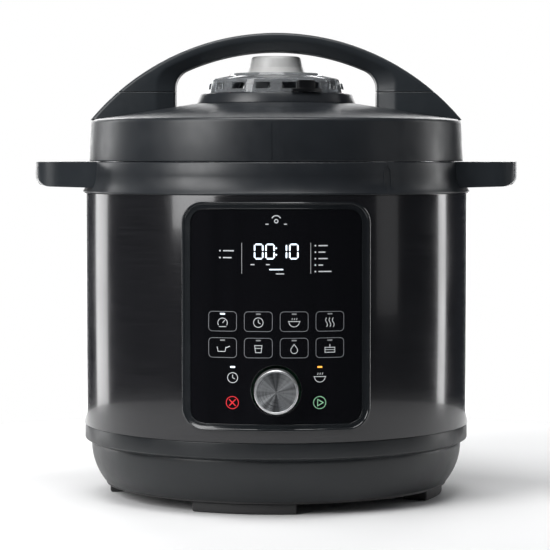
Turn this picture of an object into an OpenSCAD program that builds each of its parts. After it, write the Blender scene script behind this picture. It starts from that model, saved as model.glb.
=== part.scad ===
// Electric pressure cooker: a base with its heater and controls, a pot that lifts out, and a lid
// that turns to lock. Millimetres. Z is up from the worktop, X runs from grip to grip and the
// control panel faces -Y.

/* [Body] */
// Outside diameter of the steel sleeve
body_d = 271.2; // [226:0.2:326]
// Height of the steel sleeve
sleeve_h = 161.8; // [134:0.2:195]
// Height of the base shell's top above the worktop
base_h = 49.5; // [41:0.25:60]
// Height of the collar above the sleeve
collar_h = 21.4; // [17.5:0.1:26]
// Height of the feet
foot_h = 7.3; // [6:0.1:9]

/* [Lid] */
// Height of the lid cover's side
lid_side_h = 28.7; // [23.5:0.1:35]
// Rise of the lid cover's shallow cone
lid_cone_h = 11.5; // [9.5:0.1:14]
// Height of the handle's crown above the lid's shoulder
handle_rise = 60.9; // [50:0.05:74]
// Width of the handle from front to back
handle_w = 34; // [28:0.5:41]

/* [Grips] */
// How far each side grip stands out from the sleeve
grip_reach = 33.4; // [28:0.1:40]
// Length of each side grip from front to back
grip_w = 96; // [80:1:115]

/* [Controls] */
// Width of the control panel's bezel
panel_w = 124; // [104:1:148]
// Diameter of the control dial
dial_d = 29; // [24:0.5:34]
// How far the dial stands out from the sleeve
dial_reach = 13; // [11:0.5:15.5]
// How far the dial is pushed in
dial_push = 1; // [0.8:0.1:1.2]

/* [Clearances] */
// Gap between soft or pressed parts that move past each other
soft_gap = 0.3; // [0.25:0.05:0.5]
// Radial gap of a shaft in its hole
shaft_gap = 0.05; // [0.02:0.01:0.09]
// Gap along a visible seam
seam_gap = 0.4; // [0.3:0.05:0.6]
// Sliding gap between the drip cup and its rail
rail_gap = 0.5; // [0.4:0.05:0.8]

/* [Hidden] */

$fn = 144;
small_fn = 48;
// Overrun of a cutter past the face that it opens
over = 1;

// Colours
charcoal = [0.13, 0.14, 0.16];
gloss_black = [0.04, 0.04, 0.05];
steel = [0.72, 0.73, 0.74];
rubber_grey = [0.20, 0.20, 0.21];
smoke = [0.35, 0.36, 0.38, 0.6];
board_green = [0.10, 0.35, 0.18];

// Wall thicknesses
shell_wall = 2.5;
cover_t = 1.5;
sleeve_t = 0.8;
sheet_t = 1;
lid_plate_t = 1.5;
lid_wall = 2.2;

// Heights from the worktop
cover_z = foot_h;
shell_z = cover_z + cover_t;
band_h = 10;
step_h = 3.5;
curve_z = base_h - band_h - step_h;
collar_z = base_h + sleeve_h;
rim_z = collar_z + collar_h;
lid_z = rim_z + seam_gap;
shoulder_z = lid_z + lid_side_h;
lid_top_z = shoulder_z + lid_cone_h;
handle_top_z = shoulder_z + handle_rise;

// Radii of the outside
body_r = body_d / 2;
band_r = body_r - 0.6;
curve_r = band_r - 4.5;
base_inset = 9.7;
base_r = curve_r - base_inset;
base_arc_h = curve_z - shell_z;
base_arc_r = (pow(base_inset, 2) + pow(base_arc_h, 2)) / (2 * base_inset);
spigot_r = body_r - sleeve_t - 0.2;
spigot_h = 6;
collar_lip_r = body_r + 0.4;
collar_top_r = body_r - 3.8;
trough_r = collar_top_r - 2.3;
lid_base_r = body_r - 4.1;
lid_shoulder_r = body_r - 5.6;

// The pressure vessel's rings, from the outside in
lid_skirt_r = trough_r - 2.8;
lug_r = lid_skirt_r - lid_plate_t;
lug_reach = 4.9;
lug_count = 6;
lug_angle = 24;
lug_pitch = 360 / lug_count;
// Turn from set on to locked, half a pitch
lock_turn = lug_pitch / 2;
ring_r = lug_r - lug_reach - 1.3;
ring_lug_r = lug_r - 1.2;
outer_pot_r = ring_r - 4;
pot_r = outer_pot_r - 5;
pot_flange_r = ring_r - 2;
seal_out_r = ring_r - 1;
seal_in_r = seal_out_r - 12;
rack_r = seal_in_r - 1.6;
rack_wire_r = 1.2;

// Heights of the pressure vessel
ring_z = rim_z - 0.2;
ring_lug_t = 2.5;
ring_h = 6.5;
pot_rim_z = ring_z + soft_gap;
pot_rim_t = 1.5;
seal_z = pot_rim_z + pot_rim_t + soft_gap;
seal_h = 5.1;
plate_z = seal_z + seal_h + soft_gap;
skirt_z = rim_z - 7.2;
lug_t = 2.2;
lug_z = ring_z - ring_lug_t - seam_gap - lug_t;
trough_z = skirt_z - 1.5;
trough_t = 2.5;
pot_flange_t = 1.2;
pot_flange_z = trough_z - trough_t - pot_flange_t;
outer_pot_z = base_h - 3.5;
heater_z = outer_pot_z + 9;
heater_t = 7;
pot_z = heater_z + heater_t;
pot_corner_r = 14;

// The lid's middle, where the steam parts are
plateau_r = 60;
plateau_z = lid_top_z - 10.8;
flank_r = rack_r - 6.4;
vent_r = 56;
vent_top_r = 53.4;
vent_h = 6.9;
vent_top_z = lid_top_z + vent_h;
vent_floor_t = 1.5;
vent_wall = 2;
vent_deck_t = 1.8;
deck_in_r = 47.5;
pipe_r = 4.5;
pipe_bore_r = 1.8;
pipe_top_z = vent_top_z + 0.6;
pipe_foot_z = plateau_z - 8.5;
pipe_flange_r = 8;
pipe_flange_t = 2;
nut_r = 7;
nut_t = 4;
float_x = -34;
float_travel = 5;
float_pin_r = 2.5;
float_head_r = 4;
float_hole_r = 5.2;

// The steam diffuser's outline
diff_z = vent_top_z + soft_gap;
diff_r = 49;
diff_wall = 1.6;
diff_skirt_h = 9.7;
diff_skirt_top_r = 46.7;
diff_tier_r = 33;
diff_tier_z = diff_z + 12.3;
diff_cap_r = 19.6;
diff_cap_top_r = 16.9;
diff_cap_z = diff_z + 14.1;
// Its top is just under the handle
handle_thick = 13.1;
handle_clear = 2.9;
diff_top_z = handle_top_z - handle_thick - handle_clear;
diff_post_r = 44;
window_count = 16;

// The release switch, which slides round an arc in the vent base
switch_angle = 23;
switch_r = 51;
switch_slot_w = 2.4;
switch_stem_w = 2;
switch_arm_z = lid_top_z + vent_floor_t + 0.8;
switch_arm_t = 1.5;
switch_lift = 2;

// Control panel
panel_low = 7.9;
panel_high = 4.3;
panel_h = sleeve_h - panel_low - panel_high;
panel_z = base_h + panel_low + panel_h / 2;
panel_round = 14;
panel_t = 2.6;
fascia_inset = 6;
fascia_inset_z = 4.9;
fascia_round = 9;
fascia_t = 1.6;
window_inset = 3.5;
dial_z = base_h + panel_low + 26.9;
dial_r = dial_d / 2;
dial_hole_r = dial_r + 2;
dial_wall = 2;
dial_face_t = 0.8;
dial_back_y = body_r - 2.1;
shaft_r = 3;
board_y = body_r - 13.6;
board_t = 1.6;
encoder_d = 7.4;

// Side grips
grip_top_z = rim_z;
grip_h = collar_h - 3.4;
grip_wall = 4.2;
grip_round = 20;
grip_x = body_r + grip_reach;
grip_root = 8.6;
slot_w = 4.2;
slot_l = 32;
slot_depth = 10;
grip_screw_y = 26;

// Lid handle
handle_r = (pow(lid_shoulder_r, 2) + pow(handle_rise, 2)) / (2 * handle_rise);
handle_cz = handle_top_z - handle_r;
handle_face = 5.7;
opening_r = handle_r - handle_thick;
// The opening's and the screws' places between the vent and the lid's shoulder
opening_share = 0.196;
leg_screw_share = 0.54;
opening_x = vent_r + (lid_shoulder_r - vent_r) * opening_share;
opening_round = 14;
face_opening_x = opening_x + 13;
bevel_w = 5;
handle_seam_z = shoulder_z + 19.7;
leg_screw_x = vent_r + (lid_shoulder_r - vent_r) * leg_screw_share;
leg_screw_y = 8;
leg_screw_z = shoulder_z - 4;
leg_screw_top_z = handle_cz + sqrt(pow(handle_r, 2) - pow(leg_screw_x, 2)) - 5;

// Drip cup behind the body
cup_w = 70;
cup_d = 25;
cup_h = 59;
cup_wall = 1.8;
cup_top_z = collar_z - 2;
cup_y = body_r + 1.6;
rail_z = cup_top_z - 5.4;
rail_t = 3;
rail_w = 60;
rail_reach = 15;
lip_w = 7;

// Power inlet at the back of the base
inlet_w = 34;
inlet_h = 24;
inlet_z = shell_z + 16.2;
inlet_face_y = body_r - 6.6;
inlet_depth = 25;
inlet_hole_w = 25;
inlet_hole_h = 17;
inlet_hole_d = 17;

// Screws
screw_r = 1.4;
screw_head_r = 3;
screw_head_t = 1.8;
grip_screw_z = pot_flange_z - screw_head_r - 0.3;

// Points on an arc, from angle a0 to angle a1
function arc(cx, cy, r, a0, a1, n) =
    [for (i = [0 : n]) let (a = a0 + (a1 - a0) * i / n) [cx + r * cos(a), cy + r * sin(a)]];

// Radius of the lid cover's cone at a height of the outside, and its height at a radius
cone_slope = lid_cone_h / (lid_shoulder_r - vent_r);
function cone_z(r) = shoulder_z + (lid_shoulder_r - r) * cone_slope;

module rounded_rect(w, h, r) {
    square([w - 2 * r, h], center = true);
    square([w, h - 2 * r], center = true);
    for (x = [-1, 1], y = [-1, 1])
        translate([x * (w / 2 - r), y * (h / 2 - r)]) circle(r, $fn = small_fn);
}

// A flat outline in X and Z, pushed from y_near away from the body's axis to y_far
module front_slab(y_near, y_far) {
    translate([0, -y_near, 0]) rotate([90, 0, 0]) linear_extrude(y_far - y_near) children();
}

module ring(r_out, r_in, z, h) {
    translate([0, 0, z]) difference() {
        cylinder(r = r_out, h = h);
        translate([0, 0, -over]) cylinder(r = r_in, h = h + 2 * over);
    }
}

// A ring's sector from angle a0 to angle a1
module sector(r_out, r_in, z, h, a0, a1) {
    translate([0, 0, z]) rotate([0, 0, a0]) rotate_extrude(angle = a1 - a0)
        translate([r_in, 0]) square([r_out - r_in, h]);
}

// A screw with its head's underside at the origin and its shank along +Z
module screw(len) {
    cylinder(r = screw_r, h = len, $fn = small_fn);
    translate([0, 0, -screw_head_t]) cylinder(r = screw_head_r, h = screw_head_t, $fn = small_fn);
}

module around(count, start, r) {
    for (i = [0 : count - 1])
        rotate([0, 0, start + i * 360 / count]) translate([r, 0, 0]) children();
}

// ---------------------------------------------------------------- base

foot_r = base_r - 3.3;
foot_w = 17.5;
foot_angle = 35.2;
foot_start = -11;
vent_angle = 125;
vent_pitch = 3;
boss_h = 20;
rib_t = 3;
cover_screw_r = base_r - 26;
boss_r = 5;
board_l = 96;
board_w = 62;
board_z = shell_z + 12;
board_post_r = 3;

module base_profile() {
    polygon(concat(
        arc(curve_r - base_arc_r, curve_z, base_arc_r, -asin(base_arc_h / base_arc_r), 0, 18),
        [[curve_r, curve_z + 2], [band_r, curve_z + step_h], [band_r, base_h],
         [spigot_r, base_h], [spigot_r, base_h + spigot_h],
         [spigot_r - shell_wall, base_h + spigot_h], [spigot_r - shell_wall, curve_z + step_h],
         [curve_r - shell_wall, curve_z + step_h - 1.5]],
        arc(curve_r - base_arc_r, curve_z, base_arc_r - shell_wall, 0,
            -asin(base_arc_h / (base_arc_r - shell_wall)), 18)));
}

module inlet_block(grow, depth) {
    translate([0, inlet_face_y, inlet_z]) rotate([90, 0, 0])
        linear_extrude(depth) rounded_rect(inlet_w + 2 * grow, inlet_h + 2 * grow, 3);
}

module base_shell() {
    color(charcoal) difference() {
        union() {
            rotate_extrude() base_profile();
            for (a = [45 : 90 : 315]) rotate([0, 0, a]) {
                translate([cover_screw_r, 0, shell_z]) cylinder(r = boss_r, h = boss_h);
                translate([cover_screw_r, -rib_t / 2, shell_z])
                    cube([base_r - shell_wall + 1.2 - cover_screw_r, rib_t, boss_h]);
            }
        }
        around(4, 45, cover_screw_r)
            translate([0, 0, shell_z - over]) cylinder(r = screw_r, h = 17, $fn = small_fn);
        translate([0, over, 0]) inlet_block(0, inlet_depth);
        for (i = [-4 : 4]) rotate([0, 0, vent_angle + i * vent_pitch])
            translate([base_r - 8, -1, shell_z + 10]) cube([20, 2, 8]);
    }
}

module bottom_cover() {
    color(charcoal) difference() {
        union() {
            translate([0, 0, cover_z]) cylinder(r = base_r - 0.6, h = cover_t);
            for (x = [-1, 1], y = [-1, 1])
                translate([x * (board_l / 2 - 6), y * (board_w / 2 - 6), cover_z])
                    cylinder(r = board_post_r, h = board_z - cover_z, $fn = small_fn);
        }
        around(4, 45, cover_screw_r)
            translate([0, 0, cover_z - over]) cylinder(r = screw_r + 0.3, h = 4, $fn = small_fn);
        for (i = [-3 : 3], y = [-1, 1])
            translate([i * 9 - 2, y * 62 - 12, cover_z - over]) cube([4, 24, 4]);
    }
}

module feet() {
    color(rubber_grey) for (i = [0 : 3]) {
        mid = foot_start - 90 + i * 90;
        sector(foot_r, foot_r - foot_w, 0, foot_h, mid - foot_angle / 2, mid + foot_angle / 2);
    }
}

module cover_screws() {
    color(steel) around(4, 45, cover_screw_r) translate([0, 0, cover_z]) screw(16);
}

module panel_window() {
    translate([0, panel_z]) rounded_rect(
        panel_w - 2 * (fascia_inset + window_inset),
        panel_h - 2 * (fascia_inset_z + window_inset), fascia_round - 3);
}

module body_sleeve() {
    color(gloss_black) difference() {
        ring(body_r, body_r - sleeve_t, base_h, sleeve_h);
        front_slab(body_r / 2, body_r + over) panel_window();
    }
}

// The collar's outside, a hollow flare between its top and its lip
flare_h = 12;
flare_arc_r = (pow(collar_lip_r - collar_top_r - 0.6, 2) + pow(flare_h, 2))
    / (2 * (collar_lip_r - collar_top_r - 0.6));

module collar_outline(inner, raise = 0) {
    polygon(concat(
        [[inner, collar_z], [collar_lip_r, collar_z], [collar_lip_r, collar_z + 1]],
        arc(collar_top_r + 0.6 + flare_arc_r, collar_z + 1 + flare_h, flare_arc_r,
            180 + asin(flare_h / flare_arc_r), 180, 12),
        [[collar_top_r, rim_z + raise], [inner, rim_z + raise]]));
}

module upper_housing() {
    color(charcoal) difference() {
        union() {
            rotate_extrude() difference() {
                collar_outline(outer_pot_r + 0.5);
                translate([0, trough_z]) square([trough_r, collar_h]);
                translate([0, collar_z - over])
                    square([trough_r, trough_z - trough_t - collar_z + over]);
            }
            rotate_extrude() translate([spigot_r - shell_wall, collar_z - spigot_h])
                square([shell_wall, spigot_h + 2]);
        }
        pot_screw_holes(screw_r);
        grip_screw_places() translate([0, 0, -20]) cylinder(r = screw_r, h = 40, $fn = small_fn);
        // Drain from the trough to the drip cup
        translate([0, trough_r - 4, trough_z - trough_t - over])
            cylinder(r = 3, h = trough_t + 2 * over, $fn = small_fn);
    }
}

module grip_screw_places() {
    for (s = [-1, 1], y = [-1, 1])
        translate([s * (trough_r - 6), y * grip_screw_y, grip_screw_z])
            rotate([0, s * 90, 0]) children();
}

// One side grip along +X
module grip() {
    difference() {
        intersection() {
            translate([grip_x / 2, 0, grip_top_z - grip_h]) linear_extrude(grip_h)
                rounded_rect(grip_x, grip_w, grip_round);
            rotate_extrude() polygon(concat(
                [[body_r - 8, grip_top_z], [body_r - 8, grip_top_z - grip_h],
                 [grip_x - 7, grip_top_z - grip_h + 1]],
                arc(grip_x - 7, grip_top_z - grip_h + 8, 7, -90, 0, 8),
                [[grip_x, grip_top_z]]));
        }
        rotate_extrude() collar_outline(0, over);
        // Finger recess, open below
        translate([0, 0, grip_top_z - grip_h - over]) linear_extrude(grip_h - grip_wall + over)
            difference() {
                translate([grip_x / 2, 0])
                    rounded_rect(grip_x - 2 * grip_wall, grip_w - 2 * grip_wall,
                                 grip_round - grip_wall);
                circle(body_r + grip_root);
            }
        translate([body_r + 2.2, -slot_l / 2, grip_top_z - slot_depth])
            cube([slot_w, slot_l, slot_depth + over]);
        for (y = [-1, 1]) translate([body_r - 9, y * grip_screw_y, grip_screw_z])
            rotate([0, 90, 0]) cylinder(r = screw_r, h = 15, $fn = small_fn);
    }
}

module grip_right() {
    color(charcoal) grip();
}

module grip_left() {
    color(charcoal) mirror([1, 0, 0]) grip();
}

module grip_screws() {
    color(steel) for (s = [-1, 1], y = [-1, 1])
        translate([s * (sqrt(pow(trough_r, 2) - pow(grip_screw_y, 2)) - 1.6),
                   y * grip_screw_y, grip_screw_z])
            rotate([0, s * 90, 0]) screw(13);
}

module locking_ring() {
    color(steel) {
        ring(ring_r, outer_pot_r, ring_z - ring_h, ring_h);
        for (i = [0 : lug_count - 1])
            sector(ring_lug_r, ring_r - 1, ring_z - ring_lug_t, ring_lug_t,
                   i * lug_pitch - lug_angle / 2, i * lug_pitch + lug_angle / 2);
    }
}

pot_screw_ring = outer_pot_r + 7;

module pot_screw_holes(r) {
    around(4, 45, pot_screw_ring)
        translate([0, 0, pot_flange_z - over]) cylinder(r = r, h = 4, $fn = small_fn);
}

module outer_pot() {
    color(steel) difference() {
        rotate_extrude() polygon([
            [30, outer_pot_z], [outer_pot_r, outer_pot_z],
            [outer_pot_r, pot_flange_z], [pot_screw_ring + 4, pot_flange_z],
            [pot_screw_ring + 4, pot_flange_z + pot_flange_t],
            [outer_pot_r, pot_flange_z + pot_flange_t],
            [outer_pot_r, ring_z], [outer_pot_r - sheet_t, ring_z],
            [outer_pot_r - sheet_t, outer_pot_z + sheet_t], [30, outer_pot_z + sheet_t]]);
        pot_screw_holes(screw_r + 0.2);
    }
}

module pot_screws() {
    color(steel) around(4, 45, pot_screw_ring) translate([0, 0, pot_flange_z]) screw(2.9);
}

// ---------------------------------------------------------------- heater and sensor

heater_r = pot_r - 12;
element_r = heater_r - 26;
element_wire_r = 3.5;
element_z = heater_z - 1.6;
sensor_r = 12;
sensor_stem_r = 3.95;
sensor_hole_r = 14;
bracket_z = outer_pot_z - cover_t;
bracket_l = 128;
bracket_w = 26;
spring_r = 9;
spring_wire_r = 0.6;
spring_turns = 3;
spring_steps = 18;
spring_sides = 8;
sensor_top_z = pot_z - soft_gap;
sensor_cap_h = 5;

module heater_plate() {
    color([0.8, 0.8, 0.8]) difference() {
        union() {
            translate([0, 0, heater_z]) cylinder(r = heater_r, h = heater_t);
            around(3, 30, heater_r - 10) translate([0, 0, outer_pot_z + sheet_t])
                cylinder(r = 5, h = heater_z - outer_pot_z, $fn = small_fn);
        }
        translate([0, 0, heater_z - over]) cylinder(r = sensor_hole_r, h = heater_t + 2 * over);
        element(0);
    }
}

module element(trim) {
    rotate_extrude() translate([element_r, element_z]) circle(element_wire_r - trim, $fn = small_fn);
}

module heating_element() {
    color([0.55, 0.5, 0.45]) {
        element(0);
        for (y = [-1, 1]) translate([element_r - 8, y * 6 - 2, element_z - 2])
            cube([8, 4, heater_z - element_z + 2]);
    }
}

module temperature_sensor() {
    color(steel) {
        translate([0, 0, sensor_top_z - sensor_cap_h]) difference() {
            cylinder(r = sensor_r, h = sensor_cap_h);
            translate([0, 0, -over]) cylinder(r = sensor_r - 1.2, h = sensor_cap_h - 1.2 + over);
        }
        translate([0, 0, bracket_z - 4])
            cylinder(r = sensor_stem_r, h = sensor_top_z - bracket_z + 3, $fn = small_fn);
    }
}

spring_low = bracket_z + cover_t + spring_wire_r;
spring_high = sensor_top_z - 1.2 - spring_wire_r - soft_gap;

module sensor_spring() {
    rings = spring_turns * spring_steps;
    rise = (spring_high - spring_low) / rings;
    centres = [for (i = [0 : rings]) let (a = i * 360 / spring_steps)
        [spring_r * cos(a), spring_r * sin(a), spring_low + i * rise]];
    points = [for (i = [0 : rings], j = [0 : spring_sides - 1])
        let (a = i * 360 / spring_steps, b = j * 360 / spring_sides)
        centres[i] + spring_wire_r * [cos(b) * cos(a), cos(b) * sin(a), sin(b)]];
    sides = [for (i = [0 : rings - 1], j = [0 : spring_sides - 1])
        let (k = (j + 1) % spring_sides)
        [i * spring_sides + j, (i + 1) * spring_sides + j,
         (i + 1) * spring_sides + k, i * spring_sides + k]];
    ends = [[for (j = [0 : spring_sides - 1]) j],
            [for (j = [spring_sides - 1 : -1 : 0]) rings * spring_sides + j]];
    color(steel) polyhedron(points, concat(sides, ends), convexity = 6);
}

module sensor_bracket() {
    color(steel) difference() {
        translate([-bracket_l / 2, -bracket_w / 2, bracket_z]) cube([bracket_l, bracket_w, cover_t]);
        translate([0, 0, bracket_z - over])
            cylinder(r = sensor_stem_r + shaft_gap, h = 2 * over + cover_t);
        for (s = [-1, 1]) translate([s * (bracket_l / 2 - 8), 0, bracket_z - over])
            cylinder(r = screw_r, h = 2 * over + cover_t, $fn = small_fn);
    }
}

module bracket_screws() {
    color(steel) for (s = [-1, 1]) translate([s * (bracket_l / 2 - 8), 0, bracket_z])
        screw(cover_t);
}

module pressure_switch() {
    color([0.1, 0.1, 0.1]) {
        translate([22, -5, bracket_z - 10]) cube([20, 10, 10]);
        translate([27, -2, bracket_z - 13]) cube([2, 4, 4]);
        translate([35, -2, bracket_z - 13]) cube([2, 4, 4]);
    }
}

module thermal_fuse() {
    color([0.85, 0.84, 0.8]) translate([-10, 42, outer_pot_z - 3.2]) rotate([0, 90, 0]) {
        cylinder(r = 3, h = 20, $fn = small_fn);
        translate([0, 0, -6]) cylinder(r = 0.7, h = 32, $fn = small_fn);
    }
}

// ---------------------------------------------------------------- controls

module panel_outline(inset_x, inset_z, round_r) {
    translate([0, panel_z])
        rounded_rect(panel_w - 2 * inset_x, panel_h - 2 * inset_z, round_r);
}

module control_bezel() {
    color(gloss_black) difference() {
        intersection() {
            front_slab(body_r / 2, body_r + 10) panel_outline(0, 0, panel_round);
            ring(body_r + panel_t, body_r, base_h, sleeve_h);
        }
        front_slab(body_r / 2, body_r + 20) panel_outline(fascia_inset, fascia_inset_z, fascia_round);
    }
}

module control_fascia() {
    color(gloss_black) difference() {
        intersection() {
            front_slab(body_r / 2, body_r + 10)
                panel_outline(fascia_inset + 0.15, fascia_inset_z + 0.15, fascia_round - 0.15);
            ring(body_r + fascia_t, body_r, base_h, sleeve_h);
        }
        translate([0, 0, dial_z]) rotate([90, 0, 0]) cylinder(r = dial_hole_r, h = body_r + 20);
    }
}

display_w = 86;
display_h = 28;
panel_board_w = 94;
display_z = panel_z + panel_h / 2 - fascia_inset_z - 33;
// The display's front, with its corners inside the sleeve
display_y = sqrt(pow(spigot_r, 2) - pow(display_w / 2, 2));

module display_module() {
    color([0.08, 0.08, 0.09]) front_slab(board_y, display_y)
        translate([0, display_z]) square([display_w, display_h], center = true);
}

module control_board() {
    board_h = panel_h - 30;
    color(board_green) difference() {
        front_slab(board_y - board_t, board_y)
            translate([0, panel_z]) square([panel_board_w, board_h], center = true);
        translate([0, 0, dial_z]) rotate([90, 0, 0]) cylinder(r = shaft_r + 0.6, h = body_r);
    }
}

module encoder_body() {
    color([0.5, 0.52, 0.55]) difference() {
        front_slab(board_y, board_y + encoder_d)
            translate([0, dial_z]) square([14, 14], center = true);
        translate([0, 0, dial_z]) rotate([90, 0, 0])
            cylinder(r = shaft_r + shaft_gap, h = body_r + 20);
    }
}

shaft_back_y = board_y + 2.8;

module turned(y_near, y_far, r) {
    translate([0, -y_near, dial_z]) rotate([90, 0, 0]) cylinder(r = r, h = y_far - y_near);
}

module dial_plunger() {
    color([0.9, 0.9, 0.88]) turned(board_y - board_t + dial_push, shaft_back_y - 0.2, shaft_r);
}

module dial_shaft() {
    color(steel) turned(shaft_back_y, body_r + 5, shaft_r);
}

module dial_knob() {
    color([0.75, 0.76, 0.78]) difference() {
        turned(dial_back_y, body_r + dial_reach, dial_r);
        difference() {
            turned(dial_back_y - over, body_r + dial_reach - 4, dial_r - dial_wall);
            turned(dial_back_y - 2 * over, body_r + dial_reach, shaft_r + 2);
        }
        turned(dial_back_y - over, body_r + 5, shaft_r);
        turned(body_r + dial_reach - dial_face_t, body_r + dial_reach + over, dial_r - 1.6);
    }
}

module dial_face() {
    color([0.8, 0.8, 0.82])
        turned(body_r + dial_reach - dial_face_t, body_r + dial_reach, dial_r - 1.65);
}

// ---------------------------------------------------------------- power

// The board's tallest part, well clear of the sensor's bracket
board_part_gap = 9;
board_part_h = bracket_z - board_z - board_t - board_part_gap;

module power_board() {
    color(board_green)
        translate([-board_l / 2, -board_w / 2, board_z]) cube([board_l, board_w, board_t]);
    color([0.1, 0.1, 0.4]) translate([-38, -20, board_z + board_t]) cube([20, 15, board_part_h]);
    color([0.7, 0.7, 0.2]) translate([6, 8, board_z + board_t]) cube([24, 16, board_part_h - 3]);
    color([0.1, 0.1, 0.1]) translate([24, -16, board_z + board_t])
        cylinder(r = 6, h = board_part_h - 1);
}

module power_inlet() {
    color([0.08, 0.08, 0.08]) difference() {
        inlet_block(-0.15, inlet_depth);
        translate([0, inlet_face_y + over, inlet_z]) rotate([90, 0, 0])
            linear_extrude(inlet_hole_d + over) rounded_rect(inlet_hole_w, inlet_hole_h, 2.5);
        inlet_pin_places(0);
    }
}

module inlet_pin_places(extra) {
    for (p = [[-7, -2], [7, -2], [0, 2]])
        translate([p[0] - 1, inlet_face_y - inlet_depth - 6, inlet_z + p[1] - 2])
            cube([2, inlet_depth + 3 + extra, 4]);
}

module inlet_pins() {
    color(steel) inlet_pin_places(0);
}

// ---------------------------------------------------------------- drip cup

module cup_holder() {
    color(charcoal) difference() {
        union() {
            translate([-rail_w / 2, body_r / 2, rail_z])
                cube([rail_w, body_r / 2 + rail_reach, rail_t]);
            translate([-rail_w / 2 + 6, body_r / 2, rail_z - 6])
                cube([rail_w - 12, body_r / 2 + 1.2, 6.5]);
        }
        translate([0, 0, rail_z - 10]) cylinder(r = body_r, h = 30);
        translate([0, body_r + 9, rail_z - over])
            cylinder(r = 3, h = rail_t + 2 * over, $fn = small_fn);
    }
}

module condensation_cup() {
    color(smoke) translate([0, cup_y, cup_top_z - cup_h]) difference() {
        translate([0, cup_d / 2]) linear_extrude(cup_h) rounded_rect(cup_w, cup_d, 5);
        // Inside, up to the rail
        translate([0, cup_d / 2, cup_wall])
            linear_extrude(cup_h - (cup_top_z - rail_z) - cup_wall + 0.1)
                rounded_rect(cup_w - 2 * cup_wall, cup_d - 2 * cup_wall, 5 - cup_wall);
        // Room for the rail
        translate([-rail_w / 2 - rail_gap, -over, cup_h - (cup_top_z - rail_z) - rail_gap])
            cube([rail_w + 2 * rail_gap, rail_reach + over + 1, rail_t + 2 * rail_gap]);
        // Mouth between the two lips
        translate([-rail_w / 2 + lip_w, -over, cup_h - 8])
            cube([rail_w - 2 * lip_w, rail_reach + over + 1, 8 + over]);
    }
}

// ---------------------------------------------------------------- pot and seal

module inner_pot() {
    inside_r = pot_corner_r - sheet_t;
    color(steel) rotate_extrude() polygon(concat(
        [[0, pot_z]],
        arc(pot_r + sheet_t - pot_corner_r, pot_z + pot_corner_r, pot_corner_r, -90, 0, 12),
        [[pot_r + sheet_t, pot_rim_z], [pot_flange_r, pot_rim_z],
         [pot_flange_r, pot_rim_z + pot_rim_t], [pot_r, pot_rim_z + pot_rim_t]],
        arc(pot_r + sheet_t - pot_corner_r, pot_z + pot_corner_r, inside_r, 0, -90, 12),
        [[0, pot_z + sheet_t]]));
}

module sealing_ring() {
    lip = 1.4;
    color([0.85, 0.85, 0.85]) rotate_extrude() difference() {
        translate([seal_in_r, seal_z]) square([seal_out_r - seal_in_r, seal_h]);
        translate([seal_in_r - over, seal_z + lip])
            square([seal_out_r - seal_in_r - 3, seal_h - 2 * lip]);
    }
}

rack_z = plate_z - 3.6;

module seal_rack() {
    color(steel) {
        rotate_extrude() translate([rack_r, rack_z]) circle(rack_wire_r, $fn = small_fn);
        around(6, 0, rack_r) translate([0, 0, rack_z])
            cylinder(r = 0.9, h = plate_z - rack_z, $fn = small_fn);
    }
}

// ---------------------------------------------------------------- lid

lid_screw_r = (seal_out_r + lug_r) / 2 + 0.6;
lid_boss_r = 3.4;

module lid_screw_holes(r) {
    around(4, 45, lid_screw_r)
        translate([0, 0, plate_z - over]) cylinder(r = r, h = 4, $fn = small_fn);
}

module pressure_lid() {
    color(steel) difference() {
        union() {
            rotate_extrude() polygon([
                [0, plateau_z - lid_plate_t], [plateau_r - 0.6, plateau_z - lid_plate_t],
                [flank_r - 0.6, plate_z], [lug_r, plate_z], [lug_r, skirt_z],
                [lid_skirt_r, skirt_z], [lid_skirt_r, plate_z + lid_plate_t],
                [flank_r, plate_z + lid_plate_t], [plateau_r, plateau_z], [0, plateau_z]]);
            for (i = [0 : lug_count - 1])
                sector(lug_r + 0.5, lug_r - lug_reach, lug_z, lug_t,
                       i * lug_pitch + lock_turn - lug_angle / 2,
                       i * lug_pitch + lock_turn + lug_angle / 2);
        }
        lid_screw_holes(screw_r + 0.2);
        translate([0, 0, plateau_z - 5]) cylinder(r = pipe_r, h = 10);
        translate([float_x, 0, plateau_z - 5])
            cylinder(r = float_pin_r + shaft_gap, h = 10, $fn = small_fn);
    }
}

module lid_screws() {
    color(steel) around(4, 45, lid_screw_r) translate([0, 0, plate_z]) screw(12);
}

module lid_outline(inset) {
    fillet = 2.6;
    polygon(concat(
        [[0, lid_z], [lid_base_r - inset, lid_z]],
        arc(lid_shoulder_r - fillet, shoulder_z - fillet, fillet - min(inset, fillet - 0.4), 3,
            90 - atan(cone_slope), 6),
        [[vent_r + 1, lid_top_z - inset], [0, lid_top_z - inset]]));
}

module lid_cover() {
    color(charcoal) difference() {
        union() {
            rotate_extrude() difference() {
                lid_outline(0);
                translate([0, -0.01]) lid_outline(lid_wall);
                square([vent_r - 12, lid_top_z + over]);
            }
            around(4, 45, lid_screw_r) translate([0, 0, plate_z + lid_plate_t])
                cylinder(r = lid_boss_r, h = cone_z(lid_screw_r) - plate_z - lid_plate_t - 1,
                         $fn = small_fn);
            leg_screw_places() translate([0, 0, leg_screw_z])
                cylinder(r = 4, h = cone_z(leg_screw_x) - shoulder_z + 2, $fn = small_fn);
        }
        around(4, 45, lid_screw_r) translate([0, 0, plate_z])
            cylinder(r = screw_r, h = 12 + over, $fn = small_fn);
        leg_screw_holes();
    }
}

module leg_screw_holes() {
    leg_screw_places() translate([0, 0, leg_screw_z - over])
        cylinder(r = screw_r, h = leg_screw_top_z - leg_screw_z + over, $fn = small_fn);
}

module leg_screw_places() {
    for (x = [-1, 1], y = [-1, 1])
        translate([x * leg_screw_x, y * leg_screw_y, 0]) children();
}

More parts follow.
